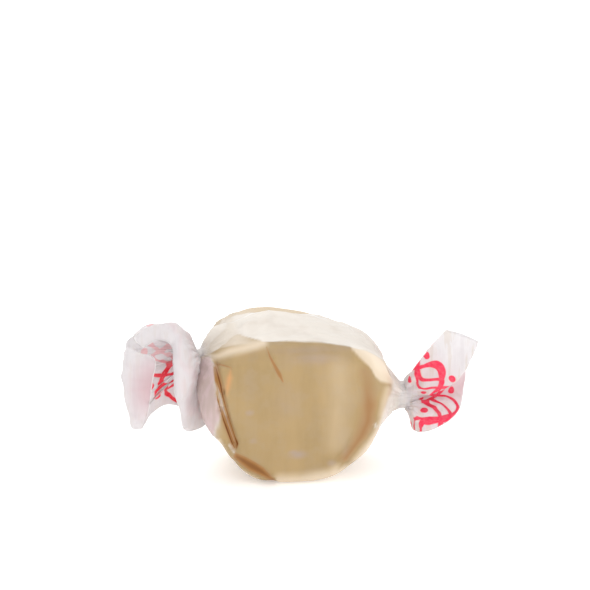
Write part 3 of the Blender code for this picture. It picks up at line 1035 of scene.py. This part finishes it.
def fine_tone(x, z, front, tone):
    """The tone with the painted shade along the right rim and the fine dark lines of painted shade
    on the front in it.
    """
    painted = None
    for dark, soft, lines in FINE_LINES:
        group = line_depth(x, z, lines).step(-soft, soft) * dark
        painted = painted.most(group) if painted else group
    painted = painted * front
    shade = line_depth(x, z, (RIM_SHADE,)).step(*RIM_FADE) * front
    tone = shade.mix_value(tone, RIM_TONE)
    return painted.step(0.02, 0.1).mix_value(tone, painted.most(-tone) * -1.0)


def browned(board, tone, base, settings):
    """A colour darkened by painted shade: a darker tan, then brown, as the tone falls below 0."""
    depth = -tone
    colours = (settings.shade_tan, settings.fold_shade_brown, settings.slot_shade_brown)
    stops = [(place, colour(value)) for place, value in zip(BROWN_PLACES, colours)]
    brown = board.node("ShaderNodeValToRGB", {"Fac": depth}, stops=stops)
    return (depth * 4.0).least(1.0).mix(base, brown)


def set_output(board, shader):
    """Join a shader to the material's output."""
    board.node("ShaderNodeOutputMaterial", {"Surface": shader})


# ---------------------------------------------------------------- finishes

# Scales of the noise in the finishes, per metre, along each axis where it is drawn out.
CANDY_CLOUDS = 170.0
CANDY_PULLS = (520.0, 260.0, 75.0)
CANDY_GRAIN = 2600.0
PAPER_CLOUDS = 210.0
PAPER_PULLS = (430.0, 260.0, 80.0)
PAPER_FIBRES = 1500.0
PAPER_DRIFT = 340.0
FAN_STREAKS = (1500.0, 900.0, 120.0)

# The print's strokes, as shares of the stroke's width: what each wave has everywhere and what
# its crests add, and the beads' radius. The thin wave is turned by (times, start, swing).
HEAVY_WAVE = (0.17, 0.36)
SLIGHT_WAVE = 0.2
THIN_WAVE = (0.12, 0.2)
THIN_CURL = (2.0, 0.6, 0.5)
BEAD_RADIUS = 0.4
# The beads' distance from the print's middle, in swings, the blur of its edges in millimetres,
# and over which distances from the neck it starts.
BEAD_PLACE = 1.05
PRINT_BLUR = 0.07
PRINT_START = (0.4, 1.2)

# How strong the painted glow beside the slot, the paper inside it and the print's haze are, and
# over which distance from the neck the body's paper turns into a fan's.
GLOW_SHARE = 0.8
MIST_SHARE = 0.85
BAND_SHARE = 0.35
FAN_START = (-0.6, 0.4)


def candy_finish(settings):
    """Pulled taffy: satin tan with soft cloudy streaks."""
    finish, board = shader_board("pulled_taffy")
    place = board.node("ShaderNodeTexCoord", out="Object")
    clouds = noise(board, place, CANDY_CLOUDS, 3.0)
    pulls = noise(board, stretched(board, place, CANDY_PULLS), 1.0, 3.0)
    grain = noise(board, place, CANDY_GRAIN)
    darker = clouds.step(0.35, 0.7) * 0.6 + pulls.step(0.3, 0.75) * 0.4
    base = darker.mix(colour(settings.light_tan), colour(settings.dark_tan))
    # The tone paints light in cream and shade in browns on the candy too.
    tone = attribute(board, "tone")
    base = (tone * 0.6).mix(base, colour(settings.lit_cream))
    base = browned(board, tone, base, settings)
    height = clouds * 0.5 + grain * 0.12
    bump = board.node(
        "ShaderNodeBump", {"Height": height, "Strength": 0.25, "Distance": 0.0003}
    )
    shader = board.node(
        "ShaderNodeBsdfPrincipled",
        {
            "Base Color": base,
            "Roughness": settings.roughness + (clouds - 0.5) * 0.2,
            "Normal": bump,
            "Specular IOR Level": 0.35,
            "Subsurface Weight": 0.12,
            "Subsurface Radius": (1.0, 0.5, 0.25),
            "Subsurface Scale": 0.0012,
        },
    )
    set_output(board, shader)
    return finish


def braid_print(across, out, settings):
    """The share of ink of three woven waves, thick at their crests, with beads beside them."""
    length = settings.wave_length / MM
    swing = settings.wave_swing / MM
    stroke = settings.stroke / MM
    centre = settings.print_distance / MM
    phase = across * (2 * math.pi / length)
    slope = phase.cosine() * (swing * 2 * math.pi / length)
    widen = (slope * slope + 1.0) ** 0.5
    wave = phase.sine() * swing
    crest = phase.sine() * phase.sine()
    heavy = (out - centre - wave).size() / widen
    heavy = heavy - stroke * (HEAVY_WAVE[0] + crest * HEAVY_WAVE[1])
    slight = (out - centre + wave).size() / widen - stroke * SLIGHT_WAVE
    times, start, share = THIN_CURL
    curl = (phase * times + start).sine() * (swing * share)
    thin = (out - centre - curl).size() / widen
    thin = thin - stroke * (THIN_WAVE[0] + crest * THIN_WAVE[1])
    bead_across = ((across / (length / 2) + 0.5).fraction() - 0.5) * (length / 2)
    bead_out = (out - centre).size() - swing * BEAD_PLACE
    bead = (bead_across * bead_across + bead_out * bead_out) ** 0.5 - stroke * BEAD_RADIUS
    nearest = heavy.least(slight).least(thin).least(bead)
    return nearest.step(PRINT_BLUR, -PRINT_BLUR) * out.step(*PRINT_START)


def paper_finish(name, settings, ink_colour, outer):
    """Wax paper: clear where it lies on the candy, white where it stands off, printed in red."""
    finish, board = shader_board(name)
    place = board.node("ShaderNodeTexCoord", out="Object")
    loose = attribute(board, "loose")
    x, z, front = front_plane(board, place)
    # The tone holds painted light and painted shade, with the fine lines of painted shade.
    tone = fine_tone(x, z, front, attribute(board, "tone"))
    # A painted orange glow beside the slot.
    painted_glow = line_depth(x, z, (GLOW_LINE,)).step(*GLOW_FADE) * front * GLOW_SHARE
    mist = line_depth(x, z, (MIST_LINE,)).step(*MIST_FADE) * front * MIST_SHARE
    haze_and_shade = attribute(board, "haze_and_shade")
    edge = attribute(board, "edge")
    out = attribute(board, "out")
    fan = out.step(*FAN_START)
    clouds = noise(board, place, PAPER_CLOUDS, 3.0)
    pulls = noise(board, stretched(board, place, PAPER_PULLS), 1.0, 3.0)
    fibres = noise(board, place, PAPER_FIBRES, 4.0, 0.6)
    patches = clouds.step(0.42, 0.72)

    ink = braid_print(attribute(board, "across"), out, settings)
    ink = ink * (0.85 + fibres * 0.25)
    printed = attribute(board, "outer_ink" if outer else "inner_ink")
    ink = ink * printed
    band = (out - settings.print_distance / MM).size().step(settings.wave_swing / MM * 2.2, 0.0)
    band = band * printed * BAND_SHARE

    streaks = clouds.step(0.35, 0.7) * 0.4 + pulls.step(0.35, 0.7) * 0.6
    drift = noise(board, place, PAPER_DRIFT, 3.0, 0.6)
    clung = streaks.mix(colour(settings.clung_tan), colour(settings.clung_dark))
    clung = (drift.step(0.42, 0.66) * 0.4).mix(clung, colour(settings.clung_grey))
    misty = haze_and_shade * (0.45 + drift)
    clung = misty.mix(clung, colour(settings.haze_mauve))
    # Painted light in cream over the clung paper.
    clung = tone.mix(clung, colour(settings.lit_cream))
    body_white = (patches * 0.8).mix(colour(settings.veil_white), colour(settings.veil_shade))
    streak = noise(board, stretched(board, place, FAN_STREAKS), 1.0)
    shaded = (patches * 0.4).most(streak.step(0.45, 0.7) * 0.8)
    fan_white = shaded.mix(colour(settings.fan_white), colour(settings.fan_shade))
    # The print's haze, and on the right fan the flap's painted shade on its curl.
    fan_white = band.most(haze_and_shade * 0.9).mix(fan_white, colour(settings.ink_haze_and_shade))
    white = fan.mix(body_white, fan_white)
    shown = loose * (1.4 + fan * (streak.step(0.4, 0.65) * 1.5 - 0.5))
    base = shown.least(1.0).mix(clung, white)
    # Painted shade in browns, from the tone.
    base = browned(board, tone, base, settings)
    # The painted glow in orange.
    base = painted_glow.mix(base, colour(settings.glow_orange))
    base = mist.mix(base, colour(settings.mist_grey))
    base = ink.mix(base, colour(ink_colour))
    # A painted highlight along the cut edges.
    lit_edge = edge.step(settings.edge_width / MM, 0.0) * loose
    base = lit_edge.mix(base, colour(settings.edge_highlight))

    solid = settings.clung_alpha + loose * (settings.loose_alpha - settings.clung_alpha)
    marked = (tone * 0.7).most(tone * -2.5).most(haze_and_shade * 0.1).most(painted_glow).most(mist)
    solid = solid + (1 - solid) * (ink * 0.75).most(lit_edge * 0.8).most(marked).least(0.97)
    bump = board.node(
        "ShaderNodeBump", {"Height": fibres * 0.4 + clouds, "Strength": 0.2, "Distance": 0.0002}
    )
    sheen = board.node(
        "ShaderNodeBsdfPrincipled",
        {
            "Base Color": base,
            "Roughness": settings.paper_roughness + (fibres - 0.5) * 0.25,
            "Normal": bump,
            "Specular IOR Level": 0.25,
            # Emission in the fans is a painted glow, for the light let through them.
            "Emission Color": (fan * (1 - ink)).mix((0, 0, 0, 1), colour(settings.fan_white)),
            "Emission Strength": settings.fan_light,
        },
    )
    glow = board.node(
        "ShaderNodeBsdfTranslucent", {"Color": colour(settings.fan_white), "Normal": bump}
    )
    lit = board.node("ShaderNodeMixShader", {0: fan * (1 - ink) * settings.glow, 1: sheen, 2: glow})
    clear = board.node("ShaderNodeBsdfTransparent")
    set_output(board, board.node("ShaderNodeMixShader", {0: solid, 1: clear, 2: lit}))
    return finish


def floor_finish(settings):
    """A pale matt floor with the faintest mottling."""
    finish, board = shader_board("pale_floor")
    place = board.node("ShaderNodeTexCoord", out="Object")
    mottle = noise(board, place, 6.0, 2.0)
    base = (mottle * 0.2).mix(colour(settings.floor_colour), (0.97, 0.97, 0.97, 1.0))
    shader = board.node(
        "ShaderNodeBsdfPrincipled",
        {
            "Base Color": base,
            "Roughness": 0.9,
            "Specular IOR Level": 0.1,
            "Emission Color": (1, 1, 1, 1),
            "Emission Strength": settings.floor_glow,
        },
    )
    set_output(board, shader)
    return finish


# ---------------------------------------------------------------- geometry nodes


CRINKLE_INPUTS = (
    ("Crinkle height", "NodeSocketFloat"),
    ("Crinkle size", "NodeSocketFloat"),
    ("Ripple height", "NodeSocketFloat"),
    ("Ripple size", "NodeSocketFloat"),
    ("Seed", "NodeSocketInt"),
    ("Finish", "NodeSocketMaterial"),
)


def crinkle_tree():
    """A geometry tree that raises sharp creases and soft ripples along a surface's normals.

    The attribute called crinkle says how much of them each point takes.
    """
    tree = bpy.data.node_groups.new("crinkled_surface", "GeometryNodeTree")
    tree.is_modifier = True
    tree.interface.new_socket("Geometry", in_out="INPUT", socket_type="NodeSocketGeometry")
    for name, kind in CRINKLE_INPUTS:
        tree.interface.new_socket(name, in_out="INPUT", socket_type=kind)
    tree.interface.new_socket("Geometry", in_out="OUTPUT", socket_type="NodeSocketGeometry")
    board = Wire(tree)
    given = board.node("NodeGroupInput")
    place = board.node("GeometryNodeInputPosition")
    share = board.node("GeometryNodeInputNamedAttribute", {"Name": "crinkle"}, data_type="FLOAT")

    def wave(size, detail):
        return board.node(
            "ShaderNodeTexNoise",
            {
                "Vector": place,
                "W": given.other("Seed") * 7.31,
                "Scale": 1.0 / given.other(size),
                "Detail": detail,
                "Roughness": 0.45,
            },
            noise_dimensions="4D",
        )

    crease = 1 - ((wave("Crinkle size", 2.0) - 0.5).size() * 5.0).least(1.0)
    crease = crease * crease
    ripple = (wave("Ripple size", 1.0) - 0.5) * 2.0
    rise = crease * given.other("Crinkle height") + ripple * given.other("Ripple height")
    normal = board.node("GeometryNodeInputNormal")
    offset = board.node(
        "ShaderNodeVectorMath", {0: normal, "Scale": rise * share}, operation="SCALE"
    )
    moved = board.node("GeometryNodeSetPosition", {"Geometry": given, "Offset": offset})
    real = board.node("GeometryNodeRealizeInstances", {"Geometry": moved})
    finished = board.node(
        "GeometryNodeSetMaterial", {"Geometry": real, "Material": given.other("Finish")}
    )
    board.node("NodeGroupOutput", {"Geometry": finished})
    return tree


def crinkle(thing, paper, crease_height, ripple_height, finish):
    """Give an object the crinkle tree, with its inputs set by identifier."""
    tree = bpy.data.node_groups.get("crinkled_surface") or crinkle_tree()
    modifier = thing.modifiers.new("crinkle", "NODES")
    modifier.node_group = tree
    values = {
        "Crinkle height": crease_height,
        "Crinkle size": paper.crinkle_size,
        "Ripple height": ripple_height,
        "Ripple size": paper.ripple_size,
        "Seed": paper.seed,
        "Finish": finish,
    }
    for item in tree.interface.items_tree:
        if item.in_out == "INPUT" and item.name in values:
            modifier[item.identifier] = values[item.name]


def add_object(name, data):
    """A new object in the scene."""
    made = bpy.data.objects.new(name, data)
    bpy.context.scene.collection.objects.link(made)
    return made


def built_mesh(name, builder):
    """The mesh of a bmesh, which is freed."""
    mesh = bpy.data.meshes.new(name)
    builder.to_mesh(mesh)
    builder.free()
    return mesh


def plain_copy(thing, name):
    """A new object with the evaluated mesh, in place of one whose modifiers are live."""
    graph = bpy.context.evaluated_depsgraph_get()
    graph.update()
    mesh = bpy.data.meshes.new_from_object(thing.evaluated_get(graph))
    old = thing.data
    bpy.data.objects.remove(thing)
    bpy.data.meshes.remove(old)
    mesh.name = name
    if not mesh.polygons:
        raise RuntimeError(f"{name} has no faces")
    return add_object(name, mesh)


def hand_over(piece, node):
    """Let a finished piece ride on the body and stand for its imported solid."""
    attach(piece, BODY)
    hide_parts(node)


# ---------------------------------------------------------------- settings


def tint(name, description, value):
    """A colour property."""
    return FloatVectorProperty(
        name=name, description=description, default=value, subtype="COLOR", size=3, min=0, max=1
    )


def length(name, description, value):
    """A length property, in metres."""
    return FloatProperty(
        name=name, description=description, default=value, unit="LENGTH", precision=5
    )


def share(name, description, value):
    """A property from 0 to 1."""
    return FloatProperty(
        name=name, description=description, default=value, subtype="FACTOR", min=0, max=1
    )


def angle(name, description, degrees):
    """An angle property, with its default in degrees."""
    return FloatProperty(
        name=name, description=description, default=math.radians(degrees), subtype="ANGLE"
    )


def strength(name, description, value):
    """The strength of a light, which can't be below 0."""
    return FloatProperty(name=name, description=description, default=value, min=0)


def group(kind, name):
    """A pointer to a group of settings."""
    return PointerProperty(type=kind, name=name, description=f"Settings of the {name.lower()}")


class CandySettings(bpy.types.PropertyGroup):
    """Sizes and colours of the candy."""

    skin: length("Skin", "How far the candy's skin lies inside the wrapped face", 0.0002)
    rim_radius: length("Rim radius", "Rounding of the wrapped face's rim", 0.0022)
    divisions: IntProperty(name="Divisions", description="Faces along each edge", default=84, min=8)
    ripple: length("Ripple", "Height of the soft ripples in the candy", 0.00002)
    light_tan: tint("Light tan", "The candy's lighter streaks", (0.61, 0.45, 0.24))
    dark_tan: tint("Dark tan", "The candy's darker streaks", (0.51, 0.36, 0.175))
    # Painted light: the cream where the candy's edges are lit.
    lit_cream: tint("Cream", "The candy under its pale edges", (0.80, 0.64, 0.42))
    shade_tan: tint("Shade tan", "Its soft shading near the rims", (0.405, 0.225, 0.1))
    # Painted shade: the candy's browns in a fold and in a slot.
    fold_shade_brown: tint("Warm brown", "The candy in a shallow fold", (0.34, 0.17, 0.06))
    slot_shade_brown: tint("Slot brown", "The candy deep in a slot", (0.17, 0.06, 0.016))
    roughness: share("Roughness", "Of the candy", 0.45)


class PaperSettings(bpy.types.PropertyGroup):
    """Sizes and colours of the wax paper."""

    wall: length("Thickness", "Of the paper", 0.00006)
    clearance: length("Clearance", "Between the candy and the paper that lies on it", 0.0001)
    lap_lift: length("Lap lift", "How far the lap stands over the paper's start", 0.00014)
    gather_height: length("Gather height", "Of the pleats beside the candy", 0.0005)
    fan_pleat_height: length("Fan pleat height", "Of the pleats that leave the necks", 0.0006)
    crinkle_height: length("Crinkle height", "Of the sharp creases", 0.0003)
    crinkle_size: length("Crinkle size", "Distance between creases", 0.0045)
    ripple_height: length("Ripple height", "Of the soft waves", 0.00025)
    ripple_size: length("Ripple size", "Length of the soft waves", 0.006)
    seed: IntProperty(name="Seed", description="Of the pleats and creases", default=7, min=0)
    veil_white: tint("Veil white", "Paper that stands off the candy", (0.77, 0.715, 0.65))
    veil_shade: tint("Veil shade", "Cloudy patches in it", (0.68, 0.61, 0.54))
    fan_white: tint("Fan white", "Paper past the necks", (0.79, 0.77, 0.775))
    fan_shade: tint("Fan shade", "Cloudy patches in it", (0.70, 0.67, 0.68))
    # A painted highlight along the cut edges.
    edge_highlight: tint("Edge white", "The cut edges", (0.93, 0.92, 0.91))
    clung_tan: tint("Clung tan", "Paper that lies on the candy", (0.548, 0.388, 0.19))
    clung_dark: tint("Clung dark", "Its darker streaks", (0.46, 0.325, 0.152))
    clung_grey: tint("Clung grey", "Its greyer patches", (0.51, 0.383, 0.232))
    # Painted light: the cream where the paper over the candy's edges is lit.
    lit_cream: tint("Cream", "Paper over the candy's pale edges", (0.895, 0.765, 0.605))
    haze_mauve: tint("Haze", "Hazy spots between paper and candy", (0.485, 0.378, 0.305))
    shade_tan: tint("Shade tan", "Its soft shading near the rims", (0.405, 0.225, 0.1))
    # A painted glow beside the slot.
    glow_orange: tint("Warm orange", "Paper beside a slot", (0.60, 0.285, 0.11))
    # Painted shade: the paper's browns in a fold and in a slot.
    fold_shade_brown: tint("Warm brown", "Paper in a shallow fold", (0.31, 0.145, 0.04))
    slot_shade_brown: tint("Slot brown", "Paper deep in a slot", (0.15, 0.042, 0.006))
    mist_grey: tint("Mist grey", "Loose paper inside the slot", (0.45, 0.36, 0.31))
    # Also the painted shade of the right flap on its curl.
    ink_haze_and_shade: tint("Ink haze", "The print seen blurred through the paper", (0.64, 0.40, 0.43))
    ink_inside: tint("Ink", "The print, on the side of the candy", (0.92, 0.015, 0.045))
    ink_outside: tint("Ink through the paper", "The print, seen from outside", (0.78, 0.028, 0.08))
    clung_alpha: share("Clear share", "Opacity of paper that lies on the candy", 0.6)
    loose_alpha: share("White share", "Opacity of paper that stands off the candy", 0.9)
    paper_roughness: share("Roughness", "Of the paper", 0.42)
    glow: share("Glow", "Share of light let through", 0.4)
    # An emitted, painted glow in the fans.
    fan_light: strength("Fan light", "Light held in the fans", 0.1)
    edge_width: length("Edge width", "Of the bright line along the cut edges", 0.0002)
    wave_length: length("Wave length", "Of the printed waves", 0.0086)
    wave_swing: length("Wave swing", "Of the printed waves", 0.0025)
    stroke: length("Stroke", "Width of the printed lines", 0.0013)
    print_distance: length("Print distance", "From the neck to the print's middle", 0.0055)


class StageSettings(bpy.types.PropertyGroup):
    """The floor, the lights and the camera."""

    azimuth: angle("Azimuth", "Of the camera, from the front towards the right", -8)
    elevation: angle("Elevation", "Of the camera, above level", 18)
    distance: length("Distance", "Of the camera", 0.75)
    frame_width: length("Frame width", "What the picture is wide at the sweet", 0.08676)
    aim_right: length("Aim right", "The picture's centre, right of the origin", -0.000147)
    aim_up: length("Aim up", "The picture's centre, above the origin", 0.02518)
    floor_size: length("Floor size", "Of the square floor", 3.0)
    floor_colour: tint("Floor", "The floor's colour", (0.95, 0.95, 0.95))
    floor_glow: strength("Floor glow", "Light from the lit floor", 0.3)
    sky: strength("Sky", "Light from all round", 1.0)
    key: strength("Key", "Watts of the large lamp above and behind", 1.2)
    fill: strength("Fill", "Watts of the lamp beside the camera", 0.9)


class TaffySettings(bpy.types.PropertyGroup):
    """All of the sweet's settings."""

    candy: group(CandySettings, "Candy")
    paper: group(PaperSettings, "Paper")
    stage: group(StageSettings, "Stage")


# ---------------------------------------------------------------- operators


class TAFFY_OT_candy(bpy.types.Operator):
    """Make the candy, a soft block pressed flat at both ends"""

    bl_idname = "taffy.candy"
    bl_label = "Add Candy"

    def execute(self, context):
        """A finely divided cube, pushed out to the candy's skin."""
        settings = context.scene.taffy.candy
        skin = settings.skin / MM
        rim = settings.rim_radius / MM

        def distance(x, y, z):
            return candy_distance(x, y, z, skin, rim)

        builder = bmesh.new()
        bmesh.ops.create_cube(builder, size=2.0)
        bmesh.ops.subdivide_edges(
            builder, edges=builder.edges, cuts=settings.divisions - 1, use_grid_fill=True
        )
        cube = np.array([v.co for v in builder.verts])
        middle = np.array(CANDY_MIDDLE)
        towards = cube * np.array(CANDY_BLOCK)
        towards /= np.linalg.norm(towards, axis=1, keepdims=True)
        out = reach(distance, middle, towards.T)
        point = middle + towards * out[:, None]
        nudges = CANDY_NUDGE * np.eye(3)
        slope = np.stack(
            [distance(*(point + nudge).T) - distance(*(point - nudge).T) for nudge in nudges],
            axis=-1,
        )
        slope /= np.linalg.norm(slope, axis=1, keepdims=True)
        lift, tone, *_ = front_marks(*point.T)
        point += slope * (np.minimum(lift, 0) * CANDY_SINK)[:, None]
        point[:, 2] += back_rise(*point.T)
        for vert, place in zip(builder.verts, point):
            vert.co = place * MM
        mesh = built_mesh("candy", builder)
        write_marks(mesh, {"tone": tone, "crinkle": np.ones(len(point))})
        mesh.shade_smooth()
        finish = candy_finish(settings)
        mesh.materials.append(finish)
        draft = add_object("candy_draft", mesh)
        crinkle(draft, context.scene.taffy.paper, 0.0, settings.ripple, finish)
        hand_over(plain_copy(draft, "candy"), "taffy")
        return {"FINISHED"}


class TAFFY_OT_paper(bpy.types.Operator):
    """Make the wax paper, rolled round the candy and twisted at both ends"""

    bl_idname = "taffy.paper"
    bl_label = "Add Wax Paper"

    def execute(self, context):
        """One sheet of quads, crinkled by the geometry tree and given its wall."""
        settings = context.scene.taffy.paper
        point, marks = whole_sheet(settings, context.scene.taffy.candy)
        mesh = grid_mesh("wax_paper", point, marks)
        outside = paper_finish("wax_paper_outside", settings, settings.ink_outside, True)
        inside = paper_finish("wax_paper_inside", settings, settings.ink_inside, False)
        mesh.materials.append(outside)
        mesh.materials.append(inside)
        draft = add_object("paper_draft", mesh)
        crinkle(draft, settings, settings.crinkle_height, settings.ripple_height, outside)
        wall = draft.modifiers.new("wall", "SOLIDIFY")
        wall.thickness = settings.wall
        wall.offset = 0
        wall.material_offset = 1
        hand_over(plain_copy(draft, "wax_paper"), "wrapper")
        return {"FINISHED"}


class TAFFY_OT_stage(bpy.types.Operator):
    """Make the floor, the soft lights and the camera"""

    bl_idname = "taffy.stage"
    bl_label = "Add Stage"

    def execute(self, context):
        """The camera looks from a little left and above, as a buyer would."""
        settings = context.scene.taffy.stage
        scene = context.scene
        self.add_floor(settings)
        self.add_sky(scene, settings)
        self.add_camera(scene, settings)
        self.add_lamp("key_lamp", settings.key, *KEY_LAMP)
        self.add_lamp("fill_lamp", settings.fill, *FILL_LAMP)
        return {"FINISHED"}

    def add_floor(self, settings):
        """A large pale square under the sweet."""
        half = settings.floor_size / 2
        builder = bmesh.new()
        bmesh.ops.create_grid(builder, x_segments=8, y_segments=8, size=half)
        mesh = built_mesh("floor", builder)
        mesh.materials.append(floor_finish(settings))
        add_object("floor", mesh)

    def add_sky(self, scene, settings):
        """Even white light from all round."""
        world = bpy.data.worlds.new("studio")
        world.use_nodes = True
        board = Wire(world.node_tree)
        world.node_tree.nodes.clear()
        light = board.node(
            "ShaderNodeBackground", {"Color": (1, 1, 1, 1), "Strength": settings.sky}
        )
        board.node("ShaderNodeOutputWorld", {"Surface": light})
        scene.world = world
        scene.view_settings.view_transform = "Standard"

    def add_camera(self, scene, settings):
        """A long lens, so that the far side is hardly smaller."""
        tilt = Euler((math.pi / 2 - settings.elevation, 0, settings.azimuth))
        lens = bpy.data.cameras.new("camera")
        lens.sensor_width = 36.0
        lens.lens = lens.sensor_width * settings.distance / settings.frame_width
        lens.clip_start = 0.01
        lens.clip_end = 20.0
        view = Vector((settings.aim_right, settings.aim_up, settings.distance))
        view.rotate(tilt)
        camera = add_object("camera", lens)
        camera.location = view
        camera.rotation_euler = tilt
        scene.camera = camera

    def add_lamp(self, name, power, size, place):
        """A large soft square lamp that faces the sweet."""
        light = bpy.data.lights.new(name, "AREA")
        light.energy = power
        light.size = size
        lamp = add_object(name, light)
        lamp.location = place
        lamp.rotation_euler = (-Vector(place)).to_track_quat("-Z", "Y").to_euler()


class TAFFY_PT_sidebar(bpy.types.Panel):
    """The settings and the operators, in the 3D view's sidebar"""

    bl_label = "Taffy"
    bl_idname = "TAFFY_PT_sidebar"
    bl_space_type = "VIEW_3D"
    bl_region_type = "UI"
    bl_category = "Taffy"

    def draw(self, context):
        """List each group of settings over its operator."""
        groups = context.scene.taffy
        for group, operator in (
            (groups.candy, TAFFY_OT_candy),
            (groups.paper, TAFFY_OT_paper),
            (groups.stage, TAFFY_OT_stage),
        ):
            box = self.layout.box()
            for name in group.bl_rna.properties.keys():
                if name not in {"rna_type", "name"}:
                    box.prop(group, name)
            box.operator(operator.bl_idname)


CLASSES = (
    CandySettings,
    PaperSettings,
    StageSettings,
    TaffySettings,
    TAFFY_OT_candy,
    TAFFY_OT_paper,
    TAFFY_OT_stage,
    TAFFY_PT_sidebar,
)


def register():
    """Register the classes and the scene's settings."""
    for cls in CLASSES:
        bpy.utils.register_class(cls)
    bpy.types.Scene.taffy = group(TaffySettings, "Taffy")


def unregister():
    """Take the classes and the settings away again."""
    del bpy.types.Scene.taffy
    for cls in reversed(CLASSES):
        bpy.utils.unregister_class(cls)


def main():
    """Make the sweet and its stage."""
    register()
    bpy.ops.taffy.candy()
    bpy.ops.taffy.paper()
    bpy.ops.taffy.stage()


if __name__ == "__main__":
    main()
